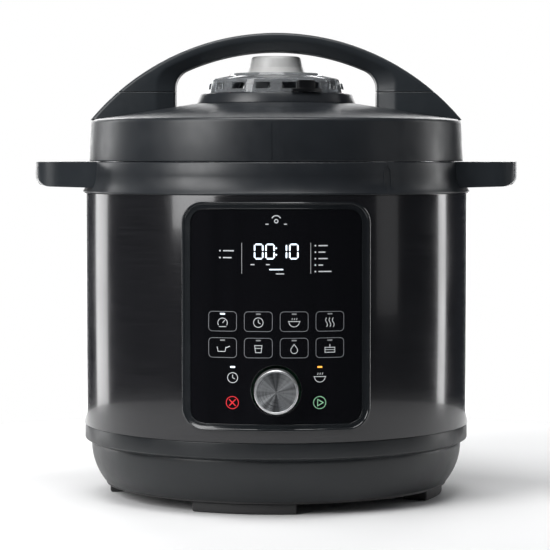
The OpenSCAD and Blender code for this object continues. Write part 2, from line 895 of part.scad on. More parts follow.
module lid_magnet() {
    color([0.5, 0.5, 0.52])
        translate([-8, -lid_screw_r - 2.5, plate_z + lid_plate_t]) cube([16, 5, 5]);
}

// The handle's opening, a low arch with round corners
module arch_opening(half_w, top_r, round_r) {
    offset(r = round_r) offset(delta = -round_r) intersection() {
        translate([0, handle_top_z - handle_r]) circle(top_r);
        translate([-half_w, shoulder_z - 20]) square([2 * half_w, handle_rise + 30]);
    }
}

module arch_half_plane(z, above) {
    translate([-body_r, above ? z : z - 2 * body_r]) square([2 * body_r, 2 * body_r]);
}

// The handle's solid: a wide outer band and a narrower inner one
module handle_solid(above) {
    for (band = [[handle_w / 2, face_opening_x, handle_r - handle_face],
                 [handle_w / 2 - bevel_w, opening_x, opening_r]])
        front_slab(-band[0], band[0]) intersection() {
            difference() {
                translate([0, handle_cz]) circle(handle_r);
                arch_opening(band[1], band[2], opening_round);
            }
            arch_half_plane(handle_seam_z, above);
            translate([-body_r, shoulder_z - 2]) square([2 * body_r, 2 * handle_rise]);
        }
}

module lid_handle() {
    color(charcoal) difference() {
        handle_solid(true);
        leg_screw_holes();
    }
}

module handle_leg() {
    difference() {
        handle_solid(false);
        translate([-2 * body_r, -body_r, 0]) cube([2 * body_r, 2 * body_r, 2 * handle_top_z]);
        rotate_extrude() lid_outline(0);
        difference() {
            translate([0, 0, lid_z]) cylinder(r = 2 * body_r, h = handle_rise * 2);
            translate([0, 0, lid_z - over]) cylinder(r = lid_shoulder_r - 1.6, h = handle_rise * 3);
        }
        leg_screw_holes();
    }
}

module handle_leg_right() {
    color(charcoal) handle_leg();
}

module handle_leg_left() {
    color(charcoal) mirror([1, 0, 0]) handle_leg();
}

module handle_screws() {
    color(steel) leg_screw_places() translate([0, 0, leg_screw_z])
        screw(leg_screw_top_z - leg_screw_z);
}

// ---------------------------------------------------------------- steam parts on the lid

module vent_base() {
    color(charcoal) difference() {
        rotate_extrude() polygon([
            [pipe_r + shaft_gap, lid_top_z], [vent_r, lid_top_z], [vent_top_r, vent_top_z],
            [deck_in_r, vent_top_z], [deck_in_r, vent_top_z - vent_deck_t],
            [vent_top_r - vent_wall, vent_top_z - vent_deck_t],
            [vent_r - vent_wall - 1, lid_top_z + vent_floor_t],
            [pipe_r + shaft_gap, lid_top_z + vent_floor_t]]);
        sector(switch_r + switch_slot_w / 2, switch_r - switch_slot_w / 2, vent_top_z - 4, 6,
               -90 - switch_angle - 3, -90 + switch_angle + 3);
        translate([float_x, 0, lid_top_z - over]) cylinder(r = float_hole_r, h = 4, $fn = small_fn);
    }
}

module diffuser_outline() {
    w = diff_wall;
    polygon([
        [diff_r, diff_z], [diff_skirt_top_r, diff_z + diff_skirt_h], [diff_tier_r, diff_tier_z],
        [diff_tier_r - 1.5, diff_cap_z], [diff_cap_r, diff_cap_z],
        [diff_cap_top_r + 0.3, diff_top_z - 1.5],
        [diff_cap_top_r - 1.2, diff_top_z], [0, diff_top_z], [0, diff_top_z - w],
        [diff_cap_top_r - w - 0.8, diff_top_z - w], [diff_cap_top_r - w, diff_top_z - w - 1],
        [diff_cap_r - w, diff_cap_z - w], [diff_tier_r - 1.5 - w, diff_cap_z - w],
        [diff_tier_r - w, diff_tier_z - w], [diff_skirt_top_r - w - 0.4, diff_z + diff_skirt_h - w],
        [diff_r - w, diff_z]]);
}

module diffuser_cover() {
    color(smoke) difference() {
        union() {
            rotate_extrude() diffuser_outline();
            around(3, 90, diff_post_r) translate([0, 0, lid_top_z + vent_floor_t])
                cylinder(r = 2, h = diff_z - lid_top_z - vent_floor_t + diff_skirt_h - 0.4,
                         $fn = small_fn);
        }
        around(window_count, 360 / window_count / 2, diff_r - 5)
            translate([0, -5, diff_z + 3]) cube([10, 10, 4]);
        translate([float_x, 0, diff_z]) cylinder(r = float_hole_r, h = 20, $fn = small_fn);
    }
}

module vent_pipe() {
    color(steel) difference() {
        union() {
            translate([0, 0, pipe_foot_z]) cylinder(r = pipe_r, h = pipe_top_z - pipe_foot_z);
            translate([0, 0, plateau_z - lid_plate_t - pipe_flange_t])
                cylinder(r = pipe_flange_r, h = pipe_flange_t);
        }
        translate([0, 0, pipe_foot_z - over])
            cylinder(r = pipe_bore_r, h = pipe_top_z - pipe_foot_z + 2 * over);
    }
}

module vent_pipe_nut() {
    color(steel) translate([0, 0, plateau_z]) difference() {
        cylinder(r = nut_r, h = nut_t, $fn = 6);
        translate([0, 0, -over]) cylinder(r = pipe_r, h = nut_t + 2 * over);
    }
}

// The switch: a thumb piece outside, a stem through the arc slot and an arm to the valve
module release_switch() {
    thumb_z = vent_top_z + seam_gap;
    arm_w = 5;
    color(gloss_black) rotate([0, 0, switch_angle]) {
        sector(switch_r + 4, switch_r - 1.4, thumb_z, 2.4, -90 - 11.5, -90 + 11.5);
        sector(switch_r + 3.2, switch_r - 0.7, thumb_z, 8, -90 - 6.6, -90 + 6.6);
        sector(switch_r + switch_stem_w / 2, switch_r - switch_stem_w / 2, switch_arm_z,
               thumb_z - switch_arm_z + 1, -92, -88);
        translate([-arm_w / 2, -switch_r - 0.6, switch_arm_z])
            cube([arm_w, switch_r - 12, switch_arm_t]);
        ring(15, 11, switch_arm_z, switch_arm_t);
    }
}

valve_foot_z = lid_top_z + vent_floor_t + 0.8;
valve_flange_z = switch_arm_z + switch_arm_t + 0.5;
valve_seat_z = pipe_top_z + soft_gap;
valve_top_z = diff_top_z - diff_wall - switch_lift - 0.6;

module steam_valve() {
    color([0.85, 0.85, 0.86]) difference() {
        union() {
            translate([0, 0, valve_foot_z]) cylinder(r = 9, h = valve_top_z - valve_foot_z - 4);
            translate([0, 0, valve_flange_z]) cylinder(r = 13.5, h = 9);
            translate([0, 0, valve_top_z - 12]) cylinder(r1 = 13.5, r2 = 11.5, h = 12);
        }
        translate([0, 0, valve_foot_z - over])
            cylinder(r = pipe_r + shaft_gap, h = valve_seat_z - valve_foot_z + over);
    }
}

float_head_z = lid_top_z + vent_floor_t + soft_gap;
float_foot_z = plateau_z - lid_plate_t - float_travel - 7;

module float_valve() {
    color([0.75, 0.2, 0.18]) translate([float_x, 0, 0]) {
        translate([0, 0, float_foot_z])
            cylinder(r = float_pin_r, h = float_head_z - float_foot_z + 1, $fn = small_fn);
        translate([0, 0, float_head_z]) cylinder(r = float_head_r, h = 5, $fn = small_fn);
    }
}

module float_valve_cap() {
    color([0.85, 0.85, 0.85]) translate([float_x, 0, float_foot_z - 2]) difference() {
        cylinder(r = 6, h = 7.5, $fn = small_fn);
        translate([0, 0, 2]) cylinder(r = float_pin_r, h = 7, $fn = small_fn);
    }
}

shield_h = 11;
shield_z = plateau_z - lid_plate_t - pipe_flange_t - shield_h;

module anti_block_shield() {
    color(steel) translate([0, 0, shield_z]) difference() {
        cylinder(r = 13, h = shield_h - soft_gap);
        translate([0, 0, 1.2]) cylinder(r = 11.8, h = shield_h);
        for (a = [0 : 30 : 330]) rotate([0, 0, a]) translate([10, -1, 3]) cube([5, 2, 5]);
    }
}

// ---------------------------------------------------------------- what is drawn

base_shell();
bottom_cover();
feet();
cover_screws();
body_sleeve();
upper_housing();
grip_left();
grip_right();
grip_screws();
locking_ring();
outer_pot();
pot_screws();
heater_plate();
heating_element();
temperature_sensor();
sensor_spring();
sensor_bracket();
bracket_screws();
pressure_switch();
thermal_fuse();
control_bezel();
control_fascia();
display_module();
control_board();
encoder_body();
dial_plunger();
dial_shaft();
dial_knob();
dial_face();
power_board();
power_inlet();
inlet_pins();
cup_holder();
condensation_cup();
inner_pot();
sealing_ring();
seal_rack();
pressure_lid();
lid_screws();
lid_cover();
lid_magnet();
lid_handle();
handle_leg_left();
handle_leg_right();
handle_screws();
vent_base();
diffuser_cover();
vent_pipe();
vent_pipe_nut();
release_switch();
steam_valve();
float_valve();
float_valve_cap();
anti_block_shield();
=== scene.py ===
"""Studio model of an electric pressure cooker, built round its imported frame.

The frame gives every size and place. Each sub-assembly is a class with its sizes as fields,
each finish is a frozen dataclass, and all lengths are in metres.
"""
import logging
import math
from collections.abc import Sequence
from dataclasses import dataclass
from enum import Enum
from typing import Protocol

import bmesh
import bpy
import numpy as np
from mathutils import Matrix, Vector


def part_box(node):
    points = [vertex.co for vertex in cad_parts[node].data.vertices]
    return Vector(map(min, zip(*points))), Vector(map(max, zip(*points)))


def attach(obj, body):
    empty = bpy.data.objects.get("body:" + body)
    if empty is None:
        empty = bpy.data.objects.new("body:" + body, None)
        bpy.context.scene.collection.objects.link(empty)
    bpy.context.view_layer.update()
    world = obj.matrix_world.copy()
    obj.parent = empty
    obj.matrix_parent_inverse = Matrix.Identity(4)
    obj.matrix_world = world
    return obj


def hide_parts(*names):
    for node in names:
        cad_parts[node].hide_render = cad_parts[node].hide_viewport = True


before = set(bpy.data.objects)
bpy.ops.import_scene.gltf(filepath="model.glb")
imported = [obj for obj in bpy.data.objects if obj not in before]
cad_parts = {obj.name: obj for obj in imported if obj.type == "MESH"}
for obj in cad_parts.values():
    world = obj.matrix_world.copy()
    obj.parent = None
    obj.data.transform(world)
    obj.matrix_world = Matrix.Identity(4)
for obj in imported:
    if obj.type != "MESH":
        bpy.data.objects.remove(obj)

MM = 0.001
TURN = 2 * math.pi
CRISP = 32  # Degrees: edges that turn by more than this stay crisp
EDGE_SPANS = 2
CORNER_POINTS = 9
Array = np.ndarray
Colour = tuple[float, float, float]
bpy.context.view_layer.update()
log = logging.getLogger("cooker")


def edge_of(node: str, low: bool, axis: int) -> float:
    """One side of a CAD node's box: its lowest or highest place along an axis."""
    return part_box(node)[0 if low else 1][axis]


X, Y, Z = range(3)
DIAL_CENTRE = (0.0, edge_of("dial_knob", True, Y), edge_of("dial_face", True, Z) / 2
               + edge_of("dial_face", False, Z) / 2)


# ------------------------------------------------------------------ shapes as whole arrays


def arc(centre: tuple[float, float], radius: float, start: float, end: float, count: int) -> Array:
    """Points on a circle: centre plus radius times the cosine and sine of evenly spaced angles.

    Args:
        centre: The circle's centre.
        radius: Its radius.
        start: First angle, in degrees.
        end: Last angle, in degrees.
        count: How many points.

    Returns:
        An array of count points with two columns.
    """
    angle = np.radians(np.linspace(start, end, count))
    return np.stack([centre[0] + radius * np.cos(angle), centre[1] + radius * np.sin(angle)], 1)


def rounded(corners: Sequence[tuple[float, float, float]], steps: int = 5) -> Array:
    """Closed outline whose corners are rounded by circles tangent to both sides.

    A corner of angle t gets a circle of the given radius whose centre lies on the bisector at
    radius / sin(t / 2), and its points run from one tangent point to the other by slerp.

    Args:
        corners: The corners in order, each with its radius. A radius of 0 stays sharp.
        steps: How many spans each round corner gets.

    Returns:
        The outline's points, with two columns.
    """
    table = np.array(corners, float)
    spots, radii = table[:, :2], table[:, 2]
    runs = []
    for spot, before, after, radius in zip(spots, np.roll(spots, 1, 0), np.roll(spots, -1, 0), radii):
        if radius <= 0:
            runs.append(spot[None])
            continue
        back = (before - spot) / np.linalg.norm(before - spot)
        on = (after - spot) / np.linalg.norm(after - spot)
        angle = math.acos(float(np.clip(back @ on, -1, 1)))
        centre = spot + (back + on) / np.linalg.norm(back + on) * radius / math.sin(angle / 2)
        first, last = (spot + way * radius / math.tan(angle / 2) - centre for way in (back, on))
        sweep, share = math.pi - angle, np.linspace(0, 1, steps + 1)[:, None]
        runs.append(centre + (np.sin((1 - share) * sweep) * first + np.sin(share * sweep) * last)
                    / math.sin(sweep))
    return np.concatenate(runs)


def rounded_loop(width: float, height: float, radius: float,
                 per_corner: int = CORNER_POINTS) -> Array:
    """Rounded rectangle about the origin, the same number of points for any size."""
    half = np.array([width / 2 - radius, height / 2 - radius])
    runs = [arc((sx * half[0], sy * half[1]), radius, start, start + 90, per_corner)
            for sx, sy, start in ((1, -1, -90), (1, 1, 0), (-1, 1, 90), (-1, -1, 180))]
    return np.concatenate(runs)


def oblong(x_low: float, x_high: float, z_low: float, z_high: float) -> Array:
    """A rectangle's four corners, in order from the low left one."""
    return np.array([(x_low, z_low), (x_high, z_low), (x_high, z_high), (x_low, z_high)])


def prism(loop: Array, heights: Sequence[float]) -> Array:
    """The same flat loop at several heights."""
    return np.stack([np.column_stack([loop, np.full(len(loop), z)]) for z in heights])


def dense(loop: Array, longest: float) -> Array:
    """Splits a closed loop's long sides so that none is longer than the given length."""
    ahead = np.roll(loop, -1, 0)
    counts = np.maximum(1, np.ceil(np.linalg.norm(ahead - loop, axis=1) / longest)).astype(int)
    return np.concatenate([a + (b - a) * np.arange(n)[:, None] / n
                           for a, b, n in zip(loop, ahead, counts)])


def spin(profile: Array, angles: Array) -> Array:
    """A profile of radius and height turned about Z: x = r cos a, y = r sin a, z = height."""
    radius, height = profile[None, :, 0], profile[None, :, 1]
    angle = angles[:, None]
    return np.stack([radius * np.cos(angle), radius * np.sin(angle),
                     np.broadcast_to(height, (len(angles), len(profile)))], 2)


def soft_section(corners: Array, radii: Sequence[float], steps: int = 4) -> Array:
    """Rounds the corners of many closed sections at once.

    Each corner P between its neighbours becomes a quadratic Bezier from the point one radius
    along the side behind it to the point one radius along the side ahead, with P as the control.

    Args:
        corners: Array of sections by corners by 3.
        radii: How far each corner's rounding reaches along its sides.
        steps: How many spans each corner gets.

    Returns:
        Array of sections by points by 3.
    """
    before, after = np.roll(corners, 1, 1), np.roll(corners, -1, 1)
    share = np.linspace(0, 1, steps + 1)[None, None, :, None]

    def toward(other: Array) -> Array:
        """The point one radius from each corner towards another point."""
        way = other - corners
        length = np.linalg.norm(way, axis=2, keepdims=True)
        reach = np.minimum(np.asarray(radii)[None, :, None], 0.45 * length)
        return corners + way / np.maximum(length, 1e-9) * reach

    first, last, middle = (a[:, :, None] for a in (toward(before), toward(after), corners))
    curve = (1 - share) ** 2 * first + 2 * share * (1 - share) * middle + share ** 2 * last
    return curve.reshape(len(corners), -1, 3)


class Build:
    """Collects grids of points and turns them into one closed mesh object."""

    def __init__(self) -> None:
        """Starts with nothing in it."""
        self.points: list[Array] = []
        self.quads: list[Array] = []
        self.rims: list[list[int]] = []
        self.count = 0

    def grid(self, grid: Array, wrap_rows: bool = True, wrap_columns: bool = True,
             caps: bool = False) -> "Build":
        """Adds a grid of points as quads.

        Args:
            grid: Array of rows by columns by 3.
            wrap_rows: Whether the last row joins the first.
            wrap_columns: Whether the last column joins the first.
            caps: Whether the first and last rows are closed by one face each.

        Returns:
            This builder.
        """
        rows, columns = grid.shape[:2]
        index = self.count + np.arange(rows * columns).reshape(rows, columns)
        near = index if wrap_rows else index[:-1]
        far = np.roll(index, -1, 0) if wrap_rows else index[1:]
        right_near, right_far = np.roll(near, -1, 1), np.roll(far, -1, 1)
        sides = slice(None) if wrap_columns else slice(0, columns - 1)
        quads = np.stack([near[:, sides], far[:, sides], right_far[:, sides], right_near[:, sides]], 2)
        self.quads.append(quads.reshape(-1, 4))
        if caps:
            self.rims += [index[0].tolist(), index[-1][::-1].tolist()]
        self.points.append(grid.reshape(-1, 3))
        self.count += rows * columns
        return self

    def lathe(self, profile: Array, segments: int = 192) -> "Build":
        """Adds a closed profile turned all the way round Z."""
        angles = np.linspace(0, TURN, segments, endpoint=False)
        return self.grid(spin(profile, angles))

    def sector(self, profile: Array, start: float, end: float, segments: int) -> "Build":
        """Adds a closed profile turned from one angle to another, in degrees, with flat ends."""
        angles = np.radians(np.linspace(start, end, segments + 1))
        return self.grid(spin(profile, angles), wrap_rows=False, caps=True)

    def stack(self, loops: Array) -> "Build":
        """Adds closed loops one above another, with the first and last closed."""
        return self.grid(loops, wrap_rows=False, caps=True)

    def done(self, name: str, sharp: float = CRISP) -> bpy.types.Object:
        """Makes the object, merges poles and seams and turns every face outwards.

        Args:
            name: The piece's name.
            sharp: Edges that turn by more than this many degrees stay crisp.

        Returns:
            The new object.
        """
        mesh = bpy.data.meshes.new(name)
        faces = [quad for block in self.quads for quad in block.tolist()] + self.rims
        mesh.from_pydata(np.concatenate(self.points).tolist(), [], faces)
        work = bmesh.new()
        work.from_mesh(mesh)
        bmesh.ops.remove_doubles(work, verts=work.verts, dist=1e-6)
        bmesh.ops.recalc_face_normals(work, faces=work.faces)
        work.to_mesh(mesh)
        work.free()
        return finish_mesh(name, mesh, sharp)


def smooth(mesh: bpy.types.Mesh, sharp: float = CRISP) -> None:
    """Shades a mesh smooth, except at edges that turn by more than an angle."""
    mesh.polygons.foreach_set("use_smooth", np.ones(len(mesh.polygons), bool))
    mesh.set_sharp_from_angle(angle=math.radians(sharp))


def finish_mesh(name: str, mesh: bpy.types.Mesh, sharp: float = CRISP) -> bpy.types.Object:
    """Shades a mesh and puts it in the scene as an object."""
    smooth(mesh, sharp)
    made = bpy.data.objects.new(name, mesh)
    bpy.context.scene.collection.objects.link(made)
    return made


def carve(piece: bpy.types.Object, cutter: bpy.types.Object) -> bpy.types.Object:
    """Cuts one closed mesh out of another and removes the cutter."""
    cut = piece.modifiers.new("cut", "BOOLEAN")
    cut.operation, cut.solver, cut.object = "DIFFERENCE", "EXACT", cutter
    bpy.context.view_layer.update()
    evaluated = piece.evaluated_get(bpy.context.evaluated_depsgraph_get())
    mesh = bpy.data.meshes.new_from_object(evaluated)
    piece.modifiers.clear()
    old, piece.data = piece.data, mesh
    bpy.data.meshes.remove(old)
    bpy.data.objects.remove(cutter)
    smooth(mesh)
    return piece


def boxes(name: str, corners: Sequence[tuple[Sequence[float], Sequence[float]]]) -> bpy.types.Object:
    """Plain blocks between pairs of corners, used as cutters and as small parts."""
    build = Build()
    for low, high in corners:
        build.stack(prism(oblong(low[X], high[X], low[Y], high[Y]), (low[Z], high[Z])))
    return build.done(name)


def bevel(piece: bpy.types.Object, width: float) -> bpy.types.Object:
    """Rounds a piece's crisp edges with a Bevel modifier."""
    edge = piece.modifiers.new("edges", "BEVEL")
    edge.width, edge.segments, edge.limit_method = width, EDGE_SPANS, "ANGLE"
    edge.angle_limit, edge.harden_normals = math.radians(CRISP), False
    return piece


def softened(node: str, width: float) -> bpy.types.Object:
    """A merged copy of a CAD node with flat faces joined and its crisp edges rounded.

    Args:
        node: The CAD node's name.
        width: The rounding's width.

    Returns:
        The new piece, named after the node.
    """
    work = bmesh.new()
    work.from_mesh(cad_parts[node].data)
    bmesh.ops.remove_doubles(work, verts=work.verts, dist=2e-6)
    bmesh.ops.dissolve_limit(work, angle_limit=math.radians(0.6), verts=work.verts,
                             edges=work.edges)
    mesh = bpy.data.meshes.new(node + "_finished")
    work.to_mesh(mesh)
    work.free()
    piece = finish_mesh(node + "_finished", mesh)
    return bevel(piece, width) if width > 0 else piece


# ------------------------------------------------------------------ finishes


class Place(Enum):
    """Which coordinates of the object a texture is stretched over."""

    ROUND_Z = (1.0, 1.0, 60.0)
    ALONG_Z = (1.0, 1.0, 0.03)
    ACROSS_X = (0.04, 1.0, 1.0)


class Graph:
    """One material's nodes, with short ways to add the patterns that the finishes share."""

    def __init__(self, name: str) -> None:
        """Starts a material that holds only a shader and its output."""
        self.material = bpy.data.materials.new(name)
        self.material.use_nodes = True
        self.tree = self.material.node_tree
        self.tree.nodes.clear()
        output = self.tree.nodes.new("ShaderNodeOutputMaterial")
        self.shader = self.tree.nodes.new("ShaderNodeBsdfPrincipled")
        self.tree.links.new(self.shader.outputs["BSDF"], output.inputs["Surface"])
        self.spot = self.tree.nodes.new("ShaderNodeTexCoord").outputs["Object"]

    def set(self, **values: float | Colour) -> None:
        """Sets the shader's own sockets, with an underscore for each space in a name."""
        for key, value in values.items():
            socket = self.shader.inputs[key.replace("_", " ")]
            socket.default_value = (*value, 1.0) if isinstance(value, tuple) else value

    def join(self, source: bpy.types.NodeSocket, target: str) -> None:
        """Links a socket to one of the shader's inputs."""
        self.tree.links.new(source, self.shader.inputs[target])

    def add(self, kind: str, inputs: dict, **settings) -> bpy.types.Node:
        """Adds a node, sets its fields and links or sets its inputs."""
        node = self.tree.nodes.new(kind)
        for key, value in settings.items():
            setattr(node, key, value)
        for key, value in inputs.items():
            if isinstance(value, bpy.types.NodeSocket):
                self.tree.links.new(value, node.inputs[key])
            else:
                node.inputs[key].default_value = value
        return node

    def math(self, operation: str, *inputs) -> bpy.types.NodeSocket:
        """One sum on numbers or sockets."""
        return self.add("ShaderNodeMath", dict(enumerate(inputs)), operation=operation).outputs[0]

    def stretched(self, place: Place) -> bpy.types.NodeSocket:
        """Object coordinates, stretched."""
        return self.add("ShaderNodeMapping", {"Vector": self.spot, "Scale": place.value}).outputs[0]

    def noise(self, spot: bpy.types.NodeSocket, scale: float, detail: float = 3,
              roughness: float = 0.55) -> bpy.types.NodeSocket:
        """A noise pattern's value."""
        return self.add("ShaderNodeTexNoise", {"Vector": spot, "Scale": scale, "Detail": detail,
                                               "Roughness": roughness}).outputs[0]

    def polar(self, axis: str, centre: Sequence[float], rings: float,
              spokes: float) -> bpy.types.NodeSocket:
        """Coordinates of angle and radius about an axis, for turned and brushed faces.

        The angle comes in as its cosine and sine, so that the pattern has no seam.

        Args:
            axis: "Y" or "Z", the axis that the face turns about.
            centre: A point on the axis.
            rings: How finely the pattern changes with the radius.
            spokes: How finely it changes with the angle.

        Returns:
            The vector of radius times rings and the angle's cosine and sine times spokes.
        """
        moved = self.add("ShaderNodeVectorMath", {0: self.spot, 1: list(centre)},
                         operation="SUBTRACT").outputs[0]
        parts = self.add("ShaderNodeSeparateXYZ", {0: moved}).outputs
        across, up = (parts[0], parts[2]) if axis == "Y" else (parts[0], parts[1])
        radius = self.math("SQRT", self.math("ADD", self.math("MULTIPLY", across, across),
                                             self.math("MULTIPLY", up, up)))
        safe = self.math("MAXIMUM", radius, 1e-5)
        cosine, sine = (self.math("MULTIPLY", self.math("DIVIDE", part, safe), spokes)
                        for part in (across, up))
        along = self.math("MULTIPLY", parts[2], rings) if axis == "Z" else 0.0
        far = self.math("ADD", self.math("MULTIPLY", radius, rings), along)
        return self.add("ShaderNodeCombineXYZ", {0: far, 1: cosine, 2: sine}).outputs[0]

    def around(self, axis: str, centre: Sequence[float]) -> bpy.types.NodeSocket:
        """Directions that run round an axis, for anisotropic highlights on turned faces."""
        moved = self.add("ShaderNodeVectorMath", {0: self.spot, 1: list(centre)},
                         operation="SUBTRACT").outputs[0]
        pole = (0, 1, 0) if axis == "Y" else (0, 0, 1)
        cross = self.add("ShaderNodeVectorMath", {0: moved, 1: pole}, operation="CROSS_PRODUCT")
        world = self.add("ShaderNodeVectorTransform", {0: cross.outputs[0]}, vector_type="VECTOR",
                         convert_from="OBJECT", convert_to="WORLD").outputs[0]
        return self.add("ShaderNodeVectorMath", {0: world}, operation="NORMALIZE").outputs[0]

    def span(self, value: bpy.types.NodeSocket, low: float, high: float) -> bpy.types.NodeSocket:
        """A pattern's middle range spread from one number to another."""
        return self.add("ShaderNodeMapRange", {"Value": value, "From Min": 0.3, "From Max": 0.7,
                                               "To Min": low, "To Max": high}).outputs[0]

    def blend(self, value: bpy.types.NodeSocket, first: Colour, second: Colour) -> None:
        """Runs the base colour from one colour to another with a pattern."""
        spread = self.span(value, 0.0, 1.0)
        mixed = self.add("ShaderNodeMix", {0: spread, 6: (*first, 1), 7: (*second, 1)},
                         data_type="RGBA").outputs[2]
        self.join(mixed, "Base Color")

    def bump(self, value: bpy.types.NodeSocket, depth: float, strength: float = 1.0,
             below: bpy.types.NodeSocket | None = None) -> bpy.types.NodeSocket:
        """Turns a pattern into relief of a depth in metres."""
        inputs = {"Height": value, "Distance": depth, "Strength": strength}
        if below is not None:
            inputs["Normal"] = below
        return self.add("ShaderNodeBump", inputs).outputs[0]


def shade(colour: Colour, factor: float) -> Colour:
    """A colour made lighter or darker by a factor."""
    return tuple(min(1.0, part * factor) for part in colour)


@dataclass(frozen=True)
class MouldedPlastic:
    """Moulded plastic with a fine spark-eroded grain, faint flow marks and handling shine."""

    name: str
    colour: Colour
    roughness: float = 0.42
    grain: float = 0.012 * MM
    gloss: float = 0.5
    coat: float = 0.0

    def make(self) -> bpy.types.Material:
        """The material."""
        graph = Graph(self.name)
        graph.set(Specular_IOR_Level=self.gloss, Coat_Weight=self.coat, Coat_Roughness=0.08)
        flow = graph.noise(graph.spot, 22, 4)
        graph.blend(flow, shade(self.colour, 0.86), shade(self.colour, 1.14))
        rubbed = graph.noise(graph.spot, 70, 5, 0.65)
        graph.join(graph.span(rubbed, self.roughness - 0.05, self.roughness + 0.06), "Roughness")
        waves = graph.bump(flow, 0.05 * MM, 0.5)
        grain = graph.noise(graph.spot, 2600, 2)
        graph.join(graph.bump(grain, self.grain, 0.8, waves), "Normal")
        return graph.material


@dataclass(frozen=True)
class CoatedSteel:
    """Brushed steel under a dark glossy coat, with hairlines that run round the body."""

    name: str
    colour: Colour
    roughness: float = 0.16

    def make(self) -> bpy.types.Material:
        """The material."""
        graph = Graph(self.name)
        graph.set(Metallic=0.25, Specular_IOR_Level=0.5, Coat_Weight=0.35, Coat_Roughness=0.06)
        lines = graph.noise(graph.stretched(Place.ROUND_Z), 26, 6, 0.7)
        graph.blend(lines, shade(self.colour, 0.7), shade(self.colour, 1.5))
        smears = graph.noise(graph.spot, 18, 4)
        wear = graph.math("ADD", graph.span(lines, -0.03, 0.03), graph.span(smears, -0.03, 0.04))
        graph.join(graph.math("ADD", wear, self.roughness), "Roughness")
        panels = graph.bump(graph.noise(graph.stretched(Place.ALONG_Z), 12, 2), 0.25 * MM, 0.5)
        graph.join(graph.bump(lines, 0.006 * MM, 0.6, panels), "Normal")
        return graph.material


@dataclass(frozen=True)
class TurnedMetal:
    """Spun, turned or radially brushed metal about an axis. It can also carry painted highlights:
    bright and dark wedges round the axis, painted into its colour.
    """

    name: str
    colour: Colour
    axis: str = "Z"
    centre: tuple[float, float, float] = (0.0, 0.0, 0.0)
    rings: float = 900.0
    spokes: float = 1.5
    roughness: float = 0.28
    depth: float = 0.01 * MM
    pull: float = 0.0
    # Painted highlight: how many bright and dark wedges round the axis go into the colour
    painted_highlight_rays: float = 0.0

    def make(self) -> bpy.types.Material:
        """The material."""
        graph = Graph(self.name)
        graph.set(Metallic=1.0, Anisotropic=self.pull)
        if self.pull:
            graph.join(graph.around(self.axis, self.centre), "Tangent")
        cuts = graph.noise(graph.polar(self.axis, self.centre, self.rings, self.spokes), 1.0, 5, 0.7)
        if self.painted_highlight_rays:
            # Painted highlight: wedges of light and shade round the axis, mixed into the base colour
            painted_highlight_wedges = graph.noise(graph.polar(self.axis, self.centre, 0.0, self.painted_highlight_rays), 1.0, 1)
            tone = graph.math("MULTIPLY_ADD", cuts, 0.25, graph.math("MULTIPLY", painted_highlight_wedges, 0.75))
            graph.blend(tone, shade(self.colour, 0.35), shade(self.colour, 1.9))
        else:
            graph.blend(cuts, shade(self.colour, 0.78), shade(self.colour, 1.12))
        stains = graph.noise(graph.spot, 35, 4)
        rough = graph.math("ADD", graph.span(cuts, -0.07, 0.07), graph.span(stains, -0.03, 0.05))
        graph.join(graph.math("ADD", rough, self.roughness), "Roughness")
        graph.join(graph.bump(cuts, self.depth, 0.7), "Normal")
        return graph.material


@dataclass(frozen=True)
class SheetMetal:
    """Rolled or plated metal with fine grain one way, spangle and light stains."""

    name: str
    colour: Colour
    roughness: float = 0.34
    spangle: float = 0.3

    def make(self) -> bpy.types.Material:
        """The material."""
        graph = Graph(self.name)
        graph.set(Metallic=1.0)
        grain = graph.noise(graph.stretched(Place.ACROSS_X), 900, 4, 0.7)
        cells = graph.add("ShaderNodeTexVoronoi", {"Vector": graph.spot, "Scale": 260.0}).outputs[1]
        tone = graph.add("ShaderNodeRGBToBW", {0: cells}).outputs[0]
        mixed = graph.math("ADD", graph.math("MULTIPLY", tone, self.spangle),
                           graph.math("MULTIPLY", grain, 1 - self.spangle))
        graph.blend(mixed, shade(self.colour, 0.72), shade(self.colour, 1.15))
        graph.join(graph.span(mixed, self.roughness - 0.08, self.roughness + 0.1), "Roughness")
        graph.join(graph.bump(grain, 0.008 * MM, 0.6), "Normal")
        return graph.material


@dataclass(frozen=True)
class GlossWindow:
    """Printed gloss window: deep black with a slight ripple and faint wiping marks."""

    name: str
    colour: Colour
    roughness: float = 0.05

    def make(self) -> bpy.types.Material:
        """The material."""
        graph = Graph(self.name)
        graph.set(Specular_IOR_Level=0.5, Coat_Weight=0.3, Coat_Roughness=0.03)
        wiped = graph.noise(graph.stretched(Place.ALONG_Z), 60, 4)
        graph.blend(wiped, shade(self.colour, 0.8), shade(self.colour, 1.3))
        graph.join(graph.span(wiped, self.roughness, self.roughness + 0.04), "Roughness")
        graph.join(graph.bump(graph.noise(graph.spot, 30, 2), 0.06 * MM, 0.4), "Normal")
        return graph.material


@dataclass(frozen=True)
class ClearPlastic:
    """Clear or smoky moulded plastic with flow lines and a frosted or polished skin."""

    name: str
    colour: Colour
    clearness: float = 0.85
    roughness: float = 0.12
    frost: float = 0.0

    def make(self) -> bpy.types.Material:
        """The material."""
        graph = Graph(self.name)
        graph.set(Transmission_Weight=self.clearness, IOR=1.49, Specular_IOR_Level=0.5)
        flow = graph.noise(graph.spot, 40, 4)
        graph.blend(flow, shade(self.colour, 0.9), shade(self.colour, 1.1))
        haze = graph.noise(graph.spot, 400, 3)
        graph.join(graph.span(haze, self.roughness, self.roughness + 0.06 + self.frost), "Roughness")
        graph.join(graph.bump(flow, 0.03 * MM, 0.5), "Normal")
        return graph.material


